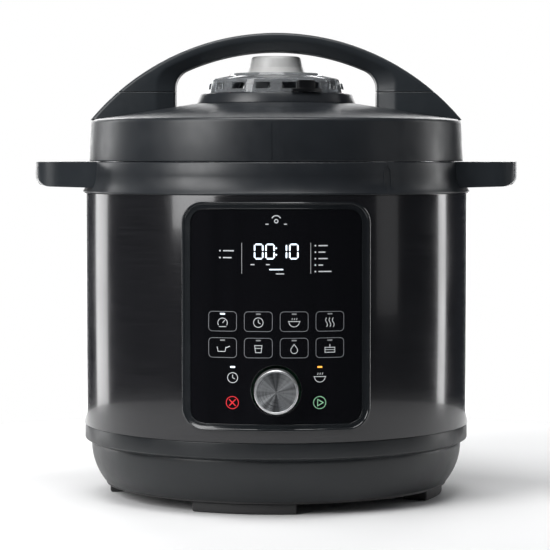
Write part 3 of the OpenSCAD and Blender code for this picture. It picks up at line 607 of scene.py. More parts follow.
@dataclass(frozen=True)
class SoftRubber:
    """Rubber or silicone with a matt skin, dust and slight translucence."""

    name: str
    colour: Colour
    roughness: float = 0.6
    glow: float = 0.0

    def make(self) -> bpy.types.Material:
        """The material."""
        graph = Graph(self.name)
        graph.set(Subsurface_Weight=self.glow, Subsurface_Scale=0.004, Sheen_Weight=0.08)
        dust = graph.noise(graph.spot, 90, 5, 0.6)
        graph.blend(dust, shade(self.colour, 0.85), shade(self.colour, 1.2))
        graph.join(graph.span(dust, self.roughness - 0.06, self.roughness + 0.12), "Roughness")
        graph.join(graph.bump(graph.noise(graph.spot, 1400, 3), 0.02 * MM, 0.7), "Normal")
        return graph.material


@dataclass(frozen=True)
class CircuitBoard:
    """Solder mask over copper tracks, with plated pads."""

    name: str
    colour: Colour = (0.012, 0.11, 0.045)

    def make(self) -> bpy.types.Material:
        """The material."""
        graph = Graph(self.name)
        graph.set(Coat_Weight=0.4, Coat_Roughness=0.15)
        cells = graph.add("ShaderNodeTexVoronoi", {"Vector": graph.spot, "Scale": 210.0},
                          distance="MANHATTAN", feature="F2")
        tracks = graph.math("GREATER_THAN", graph.math("FRACT",
                            graph.math("MULTIPLY", cells.outputs[0], 3.0)), 0.72)
        speckle = graph.math("MULTIPLY", graph.noise(graph.spot, 120, 4), 0.12)
        graph.blend(graph.math("ADD", graph.math("MULTIPLY_ADD", tracks, 0.3, 0.3), speckle),
                    self.colour, shade(self.colour, 2.4))
        graph.join(graph.span(graph.noise(graph.spot, 60, 3), 0.3, 0.42), "Roughness")
        graph.join(graph.bump(tracks, 0.04 * MM, 0.6), "Normal")
        return graph.material


@dataclass(frozen=True)
class PrintedInk:
    """Screen-printed ink or a lit segment, slightly uneven as print and diffusers are. On a lit segment
    the light is a lamp's. On plain print it is a painted glow.
    """

    name: str
    colour: Colour
    light: float = 0.0

    def make(self) -> bpy.types.Material:
        """The material."""
        graph = Graph(self.name)
        patch = graph.noise(graph.spot, 500, 4, 0.6)
        graph.blend(patch, shade(self.colour, 0.86), shade(self.colour, 1.04))
        graph.join(graph.span(patch, 0.38, 0.5), "Roughness")
        graph.join(graph.bump(patch, 0.01 * MM, 0.4), "Normal")
        # Emission: a lamp on lit segments, a painted glow on plain print
        if self.light:
            graph.set(Emission_Color=self.colour)
            graph.join(graph.span(patch, self.light * 0.9, self.light * 1.1), "Emission Strength")
        return graph.material


class Finish(Protocol):
    """What every finish has: a name, and a way to make its material."""

    name: str

    def make(self) -> bpy.types.Material:
        """The material."""


class Finishes:
    """Makes each finish once and hands out its material."""

    def __init__(self) -> None:
        """Starts with no material made."""
        self.made: dict[str, bpy.types.Material] = {}

    def get(self, finish: Finish) -> bpy.types.Material:
        """The finish's material, made the first time it is asked for."""
        if finish.name not in self.made:
            self.made[finish.name] = finish.make()
        return self.made[finish.name]


FINISHES = Finishes()

CHARCOAL = MouldedPlastic("charcoal_satin", (0.019, 0.022, 0.026), 0.36, 0.010 * MM, 0.5)
# A darker copy of the charcoal satin for the base: painted shade that keeps the base dark where the
# floor lights it
SHADED_BASE_SATIN = MouldedPlastic("base_satin_painted_shade", (0.011, 0.013, 0.015), 0.38, 0.010 * MM, 0.45)
GRIP_SATIN = MouldedPlastic("grip_satin", (0.027, 0.032, 0.037), 0.36, 0.012 * MM, 0.5)
VENT_SATIN = MouldedPlastic("vent_satin", (0.022, 0.025, 0.029), 0.33)
COVER_BLACK = MouldedPlastic("cover_black", (0.018, 0.018, 0.019), 0.55, 0.03 * MM, 0.4)
SOCKET_BLACK = MouldedPlastic("socket_black", (0.012, 0.012, 0.012), 0.45, 0.02 * MM)
SWITCH_BLACK = MouldedPlastic("switch_black", (0.010, 0.010, 0.011), 0.22, 0.004 * MM, 0.5, 0.3)
BEZEL_GLOSS = MouldedPlastic("bezel_gloss", (0.014, 0.016, 0.018), 0.16, 0.002 * MM, 0.5, 0.4)
VALVE_GREY = MouldedPlastic("valve_grey", (0.46, 0.47, 0.47), 0.4, 0.01 * MM)
PEG_WHITE = MouldedPlastic("peg_white", (0.62, 0.61, 0.57), 0.4, 0.01 * MM)
CERAMIC = MouldedPlastic("fuse_ceramic", (0.66, 0.63, 0.56), 0.3, 0.01 * MM)
FLOAT_RED = MouldedPlastic("float_red", (0.42, 0.03, 0.02), 0.3, 0.006 * MM, 0.5, 0.3)
DISPLAY_DARK = MouldedPlastic("display_dark", (0.015, 0.016, 0.018), 0.2, 0.004 * MM)
BLACK_STEEL = CoatedSteel("sleeve_black_steel", (0.016, 0.016, 0.018))
FASCIA = GlossWindow("fascia_window", (0.004, 0.004, 0.005))
SMOKE = ClearPlastic("diffuser_smoke", (0.50, 0.52, 0.54), 0.75, 0.05, 0.0)
FROST = ClearPlastic("cap_frost", (0.74, 0.74, 0.73), 0.35, 0.3, 0.15)
CUP_CLEAR = ClearPlastic("cup_clear", (0.72, 0.75, 0.78), 0.9, 0.08)
FOOT_RUBBER = SoftRubber("foot_rubber", (0.022, 0.022, 0.023), 0.62)
SILICONE = SoftRubber("seal_silicone", (0.62, 0.64, 0.63), 0.4, 0.35)
SPUN_STEEL = TurnedMetal("spun_steel", (0.60, 0.60, 0.59), rings=1400, roughness=0.26)
DRAWN_ALUMINIUM = TurnedMetal("drawn_aluminium", (0.62, 0.63, 0.64), rings=500, roughness=0.38)
PLATE_CAST = TurnedMetal("plate_cast", (0.68, 0.68, 0.69), rings=1100, roughness=0.34,
                         depth=0.03 * MM)
DIAL_EDGE = TurnedMetal("dial_edge", (0.80, 0.81, 0.82), "Y", DIAL_CENTRE, 1500, 2.0, 0.36)
# The dial's face has painted highlight rays in its colour
DIAL_FACE = TurnedMetal("dial_spun_painted_rays", (0.36, 0.37, 0.38), "Y", DIAL_CENTRE, 4200, 0.6, 0.30,
                        0.012 * MM, 0.75, 2.6)
LID_STEEL = TurnedMetal("lid_steel", (0.58, 0.59, 0.60), rings=800, roughness=0.24)
WIRE = TurnedMetal("spring_wire", (0.52, 0.53, 0.55), rings=2500, roughness=0.24)
ZINC = SheetMetal("zinc_plate", (0.55, 0.56, 0.58))
PRESSED = SheetMetal("pressed_steel", (0.50, 0.51, 0.52), 0.38, 0.5)
OXIDE = SheetMetal("element_oxide", (0.20, 0.18, 0.16), 0.5, 0.2)
BRASS = SheetMetal("pin_brass", (0.62, 0.47, 0.22), 0.28, 0.1)
NICKEL = SheetMetal("magnet_nickel", (0.42, 0.42, 0.43), 0.25, 0.1)
BOARD = CircuitBoard("solder_mask")
# The white and grey prints glow faintly of their own: a painted glow on plain ink, not a lamp
PRINT_WHITE = PrintedInk("print_white", (0.62, 0.64, 0.66), 0.30)
PRINT_GREY = PrintedInk("print_grey", (0.26, 0.27, 0.29), 0.16)
PRINT_DIM = PrintedInk("print_dim", (0.30, 0.31, 0.32), 0.08)
LIT_WHITE = PrintedInk("lit_white", (0.80, 0.90, 1.0), 1.5)
LIT_AMBER = PrintedInk("lit_amber", (1.0, 0.42, 0.06), 1.2)
# Painted glow on the red and green print as well
PRINT_RED = PrintedInk("print_red", (0.72, 0.02, 0.03), 0.35)
PRINT_GREEN = PrintedInk("print_green", (0.30, 0.62, 0.38), 0.2)


def dress(piece: bpy.types.Object, finish: Finish, body: str, slot: str,
          *replaces: str) -> bpy.types.Object:
    """Gives a new piece its finish and its body, and hides the CAD nodes that it stands for.

    Args:
        piece: The finished piece, already in place.
        finish: The finish that it gets.
        body: The CAD body that it moves with.
        slot: The record's material slot. Not used.
        replaces: CAD nodes that the piece stands for.

    Returns:
        The piece.
    """
    piece.data.materials.clear()
    piece.data.materials.append(FINISHES.get(finish))
    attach(piece, body)
    if replaces:
        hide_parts(*replaces)
    log.info("made %s: %d faces on %s", piece.name, len(piece.data.polygons), body)
    return piece


# ------------------------------------------------------------------ shared sizes


@dataclass(frozen=True)
class Sizes:
    """Sizes that several sub-assemblies share, read off the CAD nodes' boxes."""

    sleeve_r: float = edge_of("body_sleeve", False, X)
    sleeve_low: float = edge_of("body_sleeve", True, Z)
    sleeve_top: float = edge_of("body_sleeve", False, Z)
    rim_z: float = edge_of("upper_housing", False, Z)
    lid_low: float = edge_of("lid_cover", True, Z)
    lid_r: float = edge_of("lid_cover", False, X)
    lid_top: float = edge_of("vent_base", True, Z)
    vent_top: float = edge_of("vent_base", False, Z)
    vent_r: float = edge_of("vent_base", False, X)
    crown: float = edge_of("lid_handle", False, Z)
    panel_low: float = edge_of("control_bezel", True, Z)
    panel_high: float = edge_of("control_bezel", False, Z)
    panel_w: float = 2 * edge_of("control_bezel", False, X)
    dial_z: float = (edge_of("dial_knob", True, Z) + edge_of("dial_knob", False, Z)) / 2
    dial_r: float = edge_of("dial_knob", False, X)
    dial_front: float = -edge_of("dial_knob", True, Y)
    dial_back: float = -edge_of("dial_knob", False, Y)

    @property
    def panel_z(self) -> float:
        """The panel's middle height."""
        return (self.panel_low + self.panel_high) / 2


SIZES = Sizes()


def wrap(flat: Array, height: float | Array) -> Array:
    """Lays flat points on the front of the sleeve: y = -sqrt((R + height)^2 - x^2).

    Args:
        flat: Array whose last axis holds X and Z.
        height: How far each point stands off the sleeve.

    Returns:
        The same array with three coordinates in its last axis.
    """
    reach = SIZES.sleeve_r + height
    return np.stack([flat[..., 0], -np.sqrt(reach ** 2 - flat[..., 0] ** 2), flat[..., 1]], -1)


def about_dial(piece: bpy.types.Object) -> bpy.types.Object:
    """Turns a piece made about Z so that its axis points out of the dial's place."""
    outwards = Matrix.Rotation(math.pi / 2, 4, "X")
    piece.data.transform(Matrix.Translation((0, 0, SIZES.dial_z)) @ outwards)
    return piece


# ------------------------------------------------------------------ the body


@dataclass
class Body:
    """Base shell, feet, bottom cover, steel sleeve and collar."""

    shell_wall: float = 2.5 * MM
    curve_z: float = 36 * MM
    curve_r: float = 130.5 * MM
    band_r: float = 135 * MM
    step_z: float = 39.5 * MM
    foot_r: float = 117.5 * MM
    foot_w: float = 17.5 * MM
    foot_start: float = -11.0
    foot_sweep: float = 35.2
    lip_h: float = 1 * MM
    flare_h: float = 12 * MM
    collar_r: float = 131.8 * MM
    trough_r: float = 129.5 * MM
    trough_z: float = 224 * MM
    spigot_r: float = 134.6 * MM
    spigot_h: float = 6 * MM
    curve_inset: float = 9.7 * MM
    slots_each_side: int = 4
    slots_turn: int = 125
    slot_pitch: int = 3
    slot_half: float = 0.5
    slot_reach: tuple[float, float] = (0.11, 0.14)
    slot_z: tuple[float, float] = (0.0188, 0.0268)
    inlet_gap: float = 0.15 * MM
    sheet_t: float = 0.8 * MM
    window_side: float = 19 * MM
    window_end: float = 16.8 * MM
    window_r: float = 6 * MM
    window_cut: tuple[float, float] = (-0.16, -0.07)
    trough_in: float = 0.1155
    trough_t: float = 2.5 * MM
    taper: float = 0.6 * MM
    mark_turn: float = 33.5
    mark_half: float = 2.7 * MM
    mark_line: float = 0.28 * MM
    mark_lift: float = 0.4 * MM
    mark_sink: float = 0.5 * MM

    def base_shell(self) -> None:
        """The lower shell: a bowl, a step and a plain band, with vent slots and the inlet's hole."""
        low, top = edge_of("base_shell", True, Z), SIZES.sleeve_low
        drop, inset = self.curve_z - low, self.curve_inset
        radius = (inset ** 2 + drop ** 2) / (2 * inset)
        sweep = math.degrees(math.asin(drop / radius))
        centre, wall = (self.curve_r - radius, self.curve_z), self.shell_wall
        outer = arc(centre, radius, -sweep, 0, 28)
        high = top + self.spigot_h
        band = rounded([(self.curve_r, self.step_z - 2.6 * MM, 0.7 * MM),
                        (self.band_r, self.step_z - 0.4 * MM, 1.3 * MM),
                        (self.band_r, top, 0.7 * MM), (self.spigot_r, top, 0),
                        (self.spigot_r, high, 0.5 * MM), (self.spigot_r - wall, high, 0.5 * MM),
                        (self.spigot_r - wall, self.step_z, 0.5 * MM),
                        (self.curve_r - wall, self.step_z - 2 * MM, 0.5 * MM)], 4)
        inner = arc(centre, radius - wall, 0, -math.degrees(math.asin(drop / (radius - wall))), 28)
        shell = Build().lathe(np.concatenate([outer, band, inner]), 256).done("base_shell_moulded")
        slots = Build()
        for step in range(-self.slots_each_side, self.slots_each_side + 1):
            middle = self.slots_turn + self.slot_pitch * step
            slots.sector(oblong(*self.slot_reach, *self.slot_z), middle - self.slot_half,
                         middle + self.slot_half, 1)
        carve(shell, slots.done("slots"))
        (left, front, bottom), (right, back, crest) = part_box("power_inlet")
        gap = self.inlet_gap
        carve(shell, boxes("inlet_cut", [((left - gap, front, bottom - gap),
                                          (right + gap, back + 0.02, crest + gap))]))
        # The base shell wears the darker copy of the charcoal: painted shade
        dress(shell, SHADED_BASE_SATIN, "base", "charcoal_shell", "base_shell")

    def feet(self) -> None:
        """Four curved rubber feet with soft edges."""
        inner, high = self.foot_r - self.foot_w, edge_of("feet", False, Z)
        edge = 1.4 * MM
        profile = rounded([(inner, 0, edge), (self.foot_r, 0, edge), (self.foot_r, high, 0),
                           (inner, high, 0)], 4)
        build = Build()
        for index in range(4):
            middle = self.foot_start - 90 + 90 * index
            build.sector(profile, middle - self.foot_sweep / 2, middle + self.foot_sweep / 2, 28)
        dress(bevel(build.done("feet_rubber"), 0.9 * MM), FOOT_RUBBER, "base", "foot_rubber", "feet")

    def sleeve(self) -> None:
        """The coated steel sleeve with rolled ends and the panel's window."""
        outer, wall = SIZES.sleeve_r, self.sheet_t
        low, top = SIZES.sleeve_low, SIZES.sleeve_top
        sheet = rounded([(outer, low, 0.5 * MM), (outer, top, 0.5 * MM), (outer - wall, top, 0.2 * MM),
                         (outer - wall, low, 0.2 * MM)], 4)
        ring = Build().lathe(sheet, 360).done("sleeve_rolled")
        height = 2 * (SIZES.panel_high - SIZES.panel_z) - self.window_end
        window = rounded_loop(SIZES.panel_w - self.window_side, height, self.window_r)
        flat = window + np.array([0, SIZES.panel_z])
        loops = np.stack([np.column_stack([flat[:, 0], np.full(len(flat), y), flat[:, 1]])
                          for y in self.window_cut])
        carve(ring, Build().stack(loops).done("window_cut"))
        dress(ring, BLACK_STEEL, "base", "black_steel", "body_sleeve")

    def collar(self) -> None:
        """The upper housing: a lip over the sleeve, a hollow flare, a rim and the trough inside."""
        low, rim = SIZES.sleeve_top, SIZES.rim_z
        lip = edge_of("upper_housing", False, X)
        reach = lip - self.collar_r - self.taper
        radius = (reach ** 2 + self.flare_h ** 2) / (2 * reach)
        start = 180 + math.degrees(math.asin(self.flare_h / radius))
        foot = low + self.lip_h
        centre = (self.collar_r + self.taper + radius, foot + self.flare_h)
        flare = arc(centre, radius, start, 180, 20)
        under, skirt = self.trough_z - self.trough_t, low - self.spigot_h
        inner = rounded([(self.collar_r, rim, 1.0 * MM), (self.trough_r, rim, 0.5 * MM),
                         (self.trough_r, self.trough_z, 0), (self.trough_in, self.trough_z, 0),
                         (self.trough_in, under, 0), (self.trough_r, under, 0),
                         (self.trough_r, low, 0), (self.spigot_r - self.shell_wall, low, 0),
                         (self.spigot_r - self.shell_wall, skirt, 0.4 * MM),
                         (self.spigot_r, skirt, 0.4 * MM), (self.spigot_r, low, 0),
                         (lip, low, 0.4 * MM), (lip, foot, 0.5 * MM)], 4)
        # The inner run starts at the rim and ends on the lip, so the flare closes the outline
        piece = Build().lathe(np.concatenate([flare[1:], inner]), 256).done("upper_housing_moulded")
        dress(piece, CHARCOAL, "base", "charcoal_shell", "upper_housing")
        self.open_mark(radius)

    def open_mark(self, flare: float) -> None:
        """A raised pointed outline on the collar, where the lid's line stands when it is set on.

        Args:
            flare: The radius of the collar's hollow flare, which the mark follows.
        """
        low, rim = SIZES.sleeve_top, SIZES.rim_z
        side, shoulder = self.mark_half, rim - 5.5 * MM
        corners = np.array([(-side, low + 3 * MM), (-side, shoulder), (0, rim - 1.6 * MM),
                            (side, shoulder), (side, low + 3 * MM)])
        path = np.concatenate([np.linspace(a, b, 12, endpoint=False)
                               for a, b in zip(corners[:-1], corners[1:])] + [corners[-1:]])
        bend = low + self.lip_h + self.flare_h
        loops = []
        for (across, height), way in zip(path, np.gradient(path, axis=0)):
            normal = np.array([-way[1], way[0]]) / np.linalg.norm(way) * self.mark_line
            drop = max(bend - height, 0.0)
            reach = self.collar_r + self.taper * min(1.0, (rim - height) / (rim - bend))
            reach += flare - math.sqrt(flare ** 2 - drop ** 2)
            ring = []
            for step, lift in ((1, self.mark_lift), (-1, self.mark_lift), (-1, -self.mark_sink),
                               (1, -self.mark_sink)):
                spot = across + step * normal[0]
                turn = math.radians(self.mark_turn) + spot / self.collar_r
                ring.append(((reach + lift) * math.sin(turn), -(reach + lift) * math.cos(turn),
                             height + step * normal[1]))
            loops.append(ring)
        mark = Build().stack(np.array(loops)).done("collar_open_mark")
        dress(mark, CHARCOAL, "base", "charcoal_shell")

    def make(self) -> None:
        """Makes the body's pieces."""
        self.base_shell()
        self.feet()
        self.sleeve()
        self.collar()
        for side in ("left", "right"):
            grip = softened(f"grip_{side}", 1.1 * MM)
            dress(grip, GRIP_SATIN, "base", "charcoal_grip", f"grip_{side}")
        dress(softened("bottom_cover", 0.4 * MM), COVER_BLACK, "base", "cover_plastic", "bottom_cover")


# ------------------------------------------------------------------ the lid


@dataclass
class Lid:
    """The lid's cover and its arched handle."""

    shoulder_r: float = 130 * MM
    shoulder_z: float = 261.8 * MM
    wall: float = 2.2 * MM
    face: float = 5.7 * MM
    under: float = 13.1 * MM
    face_x: float = 83.5 * MM
    under_x: float = 70.5 * MM
    corner: float = 14 * MM
    half_w: float = 17 * MM
    under_half_w: float = 12 * MM
    seam_z: float = 281.5 * MM
    seam: float = 0.35 * MM
    hole_r: float = 44 * MM
    vent_gap: float = 1 * MM
    line_x: float = -3.2 * MM
    line_half: float = 0.3 * MM
    line_lift: float = 0.35 * MM
    line_sink: float = 0.4 * MM

    def cover(self) -> None:
        """The lid's cover: a slightly tapered side, a soft shoulder and a shallow cone."""
        top, wall = SIZES.lid_top, self.wall
        foot, edge = SIZES.vent_r + self.vent_gap, SIZES.lid_r
        outline = rounded([
            (edge, SIZES.lid_low, 0.7 * MM), (self.shoulder_r, self.shoulder_z, 3.2 * MM),
            (foot, top, 2 * MM), (self.hole_r, top, 0), (self.hole_r, top - wall, 0),
            (foot, top - wall, 0),
            (self.shoulder_r - wall, self.shoulder_z - wall, 2 * MM),
            (edge - wall, SIZES.lid_low, 0.5 * MM)], 7)
        dress(Build().lathe(outline, 288).done("lid_cover_moulded"), CHARCOAL, "lid",
              "charcoal_shell", "lid_cover")
        ends = [(edge - 0.1 * MM, SIZES.lid_low + 1.5 * MM),
                (self.shoulder_r, self.shoulder_z - 3.5 * MM)]
        left, right = self.line_x - self.line_half, self.line_x + self.line_half
        loops = [[(left, -radius + self.line_sink, height), (left, -radius - self.line_lift, height),
                  (right, -radius - self.line_lift, height), (right, -radius + self.line_sink, height)]
                 for radius, height in ends]
        dress(Build().stack(np.array(loops)).done("lid_line_mark"), CHARCOAL, "lid", "charcoal_shell")

    def opening(self, half: float, radius: float, foot: float, centre_z: float) -> Array:
        """Right half of an opening under the arch, from its top to its foot.

        A circle about the handle's centre and an upright side are joined by a corner arc that is
        tangent to both, so its centre lies (radius - corner) from the handle's centre.
        """
        x = half - self.corner
        z = centre_z + math.sqrt((radius - self.corner) ** 2 - x ** 2)
        turn = math.degrees(math.atan2(z - centre_z, x))
        top = arc((0, centre_z), radius, 90, turn, 40)
        bend = arc((x, z), self.corner, turn, 0, 16)
        side = np.stack([np.full(14, half), np.linspace(z, foot, 14)], 1)
        return np.concatenate([top, bend[1:], side[1:]])

    def handle(self) -> None:
        """The arched handle as sections swept from foot to foot, parted from its two feet."""
        rise = SIZES.crown - self.shoulder_z
        radius = (self.shoulder_r ** 2 + rise ** 2) / (2 * rise)
        centre_z = SIZES.crown - radius
        slope = (SIZES.lid_top - self.shoulder_z) / (self.shoulder_r - SIZES.vent_r)

        def cone(x: float) -> float:
            """The lid's height below a point of the handle, a little sunk in."""
            return self.shoulder_z + (self.shoulder_r - x) * slope - 0.3 * MM

        face = self.opening(self.face_x, radius - self.face, cone(self.face_x), centre_z)
        under = self.opening(self.under_x, radius - self.under, cone(self.under_x), centre_z)
        shares = np.concatenate([np.linspace(90, 62.3, 40), np.linspace(62.3, 51.5, 16)[1:],
                                 np.linspace(51.5, math.degrees(math.asin(
                                     (cone(self.shoulder_r - 1.5 * MM) - centre_z) / radius)), 14)[1:]])
        angles = np.radians(shares)
        outer = np.stack([radius * np.cos(angles), centre_z + radius * np.sin(angles)], 1)
        halves = [np.concatenate([np.flip(curve, 0) * [-1, 1], curve[1:]])
                  for curve in (outer, face, under)]
        spots = [(0, -self.half_w), (1, -self.half_w), (2, -self.under_half_w),
                 (2, self.under_half_w), (1, self.half_w), (0, self.half_w)]
        corners = np.stack([np.column_stack([halves[k][:, 0], np.full(len(halves[k]), y),
                                             halves[k][:, 1]]) for k, y in spots], 1)
        soft = soft_section(corners, np.array([4.2, 1.6, 1.8, 1.8, 1.6, 4.2]) * MM, 5)
        whole = Build().stack(soft)
        crown = self.part(whole.done("lid_handle_moulded"), self.seam_z + self.seam / 2, True)
        dress(crown, GRIP_SATIN, "lid", "charcoal_grip", "lid_handle")
        for side, way in (("left", -1), ("right", 1)):
            leg = Build().stack(soft).done(f"handle_leg_{side}_moulded")
            self.part(leg, self.seam_z - self.seam / 2, False, way)
            dress(leg, GRIP_SATIN, "lid", "charcoal_grip", f"handle_leg_{side}")

    def part(self, piece: bpy.types.Object, height: float, above: bool,
             side: int = 0) -> bpy.types.Object:
        """Keeps what lies above or below a height, and on one side of the middle if asked."""
        work = bmesh.new()
        work.from_mesh(piece.data)
        cuts = [((0, 0, height), (0, 0, -1 if above else 1))]
        if side:
            cuts.append(((0, 0, 0), (-side, 0, 0)))
        for spot, out in cuts:
            geometry = work.verts[:] + work.edges[:] + work.faces[:]
            bmesh.ops.bisect_plane(work, geom=geometry, plane_co=spot, plane_no=out,
                                   clear_outer=True)
            open_edges = [edge for edge in work.edges if edge.is_boundary]
            if open_edges:
                bmesh.ops.holes_fill(work, edges=open_edges)
        bmesh.ops.recalc_face_normals(work, faces=work.faces)
        work.to_mesh(piece.data)
        work.free()
        smooth(piece.data)
        return bevel(piece, self.seam)

    def make(self) -> None:
        """Makes the lid's cover and handle."""
        self.cover()
        self.handle()


# ------------------------------------------------------------------ steam parts


@dataclass
class Steam:
    """The vent base, the smoky diffuser, the switch and the valves."""

    flutes: int = 16
    teeth: int = 12
    floor: float = 1.5 * MM
    deck: float = 1.8 * MM
    bore_r: float = 4.6 * MM
    rim_r: float = 53.4 * MM
    deck_r: float = 47.5 * MM
    slot_in: float = 49.8 * MM
    slot_out: float = 52.2 * MM
    slot_start: float = -116
    slot_end: float = -64
    float_r: float = 5.2 * MM
    float_x: float = -0.034
    window_half: float = 6.2
    window_in: float = 0.042
    window_out: float = 0.053
    window_low: float = 2.6 * MM
    window_high: float = 7 * MM
    post_turns: tuple[int, ...] = (90, 210, 330)
    post_reach: float = 44 * MM
    post_r: float = 2 * MM
    flute_depth: float = 0.012

    def vent_base(self) -> None:
        """A low round tray with a rim, a deck and a slot for the switch's stem."""
        low, top = SIZES.lid_top, SIZES.vent_top
        outline = rounded([(self.bore_r, low, 0), (SIZES.vent_r, low, 0.4 * MM),
                           (self.rim_r, top, 1.1 * MM), (self.deck_r, top, 0.4 * MM),
                           (self.deck_r, top - self.deck, 0.3 * MM),
                           (51.4 * MM, top - self.deck, 0.4 * MM),
                           (53 * MM, low + self.floor, 0.4 * MM), (self.bore_r, low + self.floor, 0)],
                          4)
        tray = Build().lathe(outline, 192).done("vent_base_moulded")
        slot = oblong(self.slot_in, self.slot_out, top - 4 * MM, top + 4 * MM)
        carve(tray, Build().sector(slot, self.slot_start, self.slot_end, 30).done("slot_cut"))
        cut = Build().lathe(oblong(0, self.float_r, low - 2 * MM, low + 4 * MM), 32).done("float_cut")
        cut.data.transform(Matrix.Translation((self.float_x, 0, 0)))
        carve(tray, cut)
        dress(tray, VENT_SATIN, "lid", "vent_plastic", "vent_base")

    def diffuser(self) -> None:
        """The stepped smoky cover: its skirt is fluted between the steam windows."""
        low, high = SIZES.vent_top + 0.3 * MM, edge_of("diffuser_cover", False, Z)
        outline = rounded([
            (48.6 * MM, low, 0.4 * MM), (46.5 * MM, low + 9.7 * MM, 1.2 * MM),
            (33 * MM, low + 12.3 * MM, 0.5 * MM), (31.5 * MM, low + 14.1 * MM, 0.5 * MM),
            (20.4 * MM, low + 14.1 * MM, 0.8 * MM), (18.7 * MM, high - 8 * MM, 1 * MM),
            (17 * MM, high - 0.3 * MM, 2.4 * MM), (0, high - 0.05 * MM, 0), (0, high - 1.6 * MM, 0),
            (15.4 * MM, high - 1.8 * MM, 1.2 * MM), (17.2 * MM, high - 8.4 * MM, 0.8 * MM),
            (18.8 * MM, low + 12.5 * MM, 0.4 * MM), (30 * MM, low + 12.5 * MM, 0.4 * MM),
            (31.4 * MM, low + 10.7 * MM, 0.4 * MM), (44.6 * MM, low + 8.1 * MM, 0.6 * MM),
            (46.9 * MM, low, 0.3 * MM)], 4)
        angles = np.linspace(0, TURN, 384, endpoint=False)
        grid = spin(outline, angles)
        wave = np.cos(self.flutes * angles)[:, None]
        band = np.clip((outline[:, 0] - 34 * MM) / (8 * MM), 0, 1)[None]
        grid[..., :2] *= (1 - self.flute_depth * band * (0.5 - 0.5 * wave))[..., None]
        cover = Build().grid(grid).done("diffuser_cover_clear", 40)
        windows = Build()
        for index in range(self.flutes):
            middle = (index + 0.5) * 360 / self.flutes
            hole = oblong(self.window_in, self.window_out, low + self.window_low,
                          low + self.window_high)
            windows.sector(hole, middle - self.window_half, middle + self.window_half, 3)
        carve(cover, windows.done("window_cut"))
        dress(cover, SMOKE, "lid", "diffuser_smoke", "diffuser_cover")
        cover.data.materials.append(FINISHES.get(FROST))
        spots = np.empty(len(cover.data.polygons) * 3)
        cover.data.polygons.foreach_get("center", spots)
        high_faces = spots.reshape(-1, 3)[:, 2] > low + 14.3 * MM
        cover.data.polygons.foreach_set("material_index", high_faces.astype(np.int32))
        posts = Build()
        for turn in np.radians(self.post_turns):
            loop = arc((self.post_reach * math.cos(turn), self.post_reach * math.sin(turn)),
                       self.post_r, 0, 345, 24)
            posts.stack(prism(loop, (SIZES.lid_top + self.floor, low + 9 * MM)))
        dress(posts.done("diffuser_posts"), SMOKE, "lid", "diffuser_smoke")
        self.baffle(low)

    def baffle(self, low: float) -> None:
        """Dark teeth under the diffuser's shoulder, each narrower towards its foot."""
        inner, outer = 39.6 * MM, 41.2 * MM
        teeth = Build()
        for index in range(self.teeth):
            middle = 360 * (index + 0.5) / self.teeth
            loops = [np.column_stack([np.concatenate([
                arc((0, 0), outer, middle - half, middle + half, 8),
                arc((0, 0), inner, middle + half, middle - half, 8)]), np.full(16, low + height)])
                     for half, height in ((5.2, 1.6 * MM), (5.8, 2.0 * MM), (9.4, 6.8 * MM),
                                          (9.6, 8.6 * MM))]
            teeth.stack(np.stack(loops))
        teeth.lathe(oblong(inner, outer, low + 7.2 * MM, low + 8.7 * MM), 128)
        dress(teeth.done("steam_baffle"), VENT_SATIN, "lid", "vent_plastic")

    def switch(self) -> None:
        """The steam release switch with a soft thumb piece."""
        dress(softened("release_switch", 0.7 * MM), SWITCH_BLACK, "release_switch", "switch_black",
              "release_switch")

    def make(self) -> None:
        """Makes the steam parts."""
        self.vent_base()
        self.diffuser()
        self.switch()
        for node, finish, body, slot, width in (
                ("steam_valve", VALVE_GREY, "steam_valve", "valve_grey", 0.8),
                ("float_valve", FLOAT_RED, "float_valve", "float_red", 0.4),
                ("float_valve_cap", SILICONE, "float_valve", "cap_silicone", 0.6),
                ("anti_block_shield", PRESSED, "anti_block_shield", "shield_steel", 0.3),
                ("vent_pipe", WIRE, "lid", "lid_steel", 0.3),
                ("vent_pipe_nut", ZINC, "lid", "zinc_screw", 0.4)):
            dress(softened(node, width * MM), finish, body, slot, node)


# ------------------------------------------------------------------ control panel


def panel_loop(inset_x: float, inset_z: float, radius: float, between: int = 22) -> Array:
    """The panel's rounded outline in X and Z, moved in by the insets.

    Args:
        inset_x: How far the sides move in.
        inset_z: How far the top and bottom move in.
        radius: The corners' radius.
        between: Points added along each straight side, so that it can follow the sleeve.

    Returns:
        The loop's points, the same number for any inset.
    """
    height = SIZES.panel_high - SIZES.panel_low
    loop = rounded_loop(SIZES.panel_w - 2 * inset_x, height - 2 * inset_z, radius)
    runs = []
    for start in range(0, len(loop), CORNER_POINTS):
        end = start + CORNER_POINTS
        last, following = loop[end - 1], loop[end % len(loop)]
        share = np.linspace(0, 1, between + 2)[1:-1, None]
        runs += [loop[start:end], last + (following - last) * share]
    return np.concatenate(runs) + np.array([0, SIZES.panel_z])


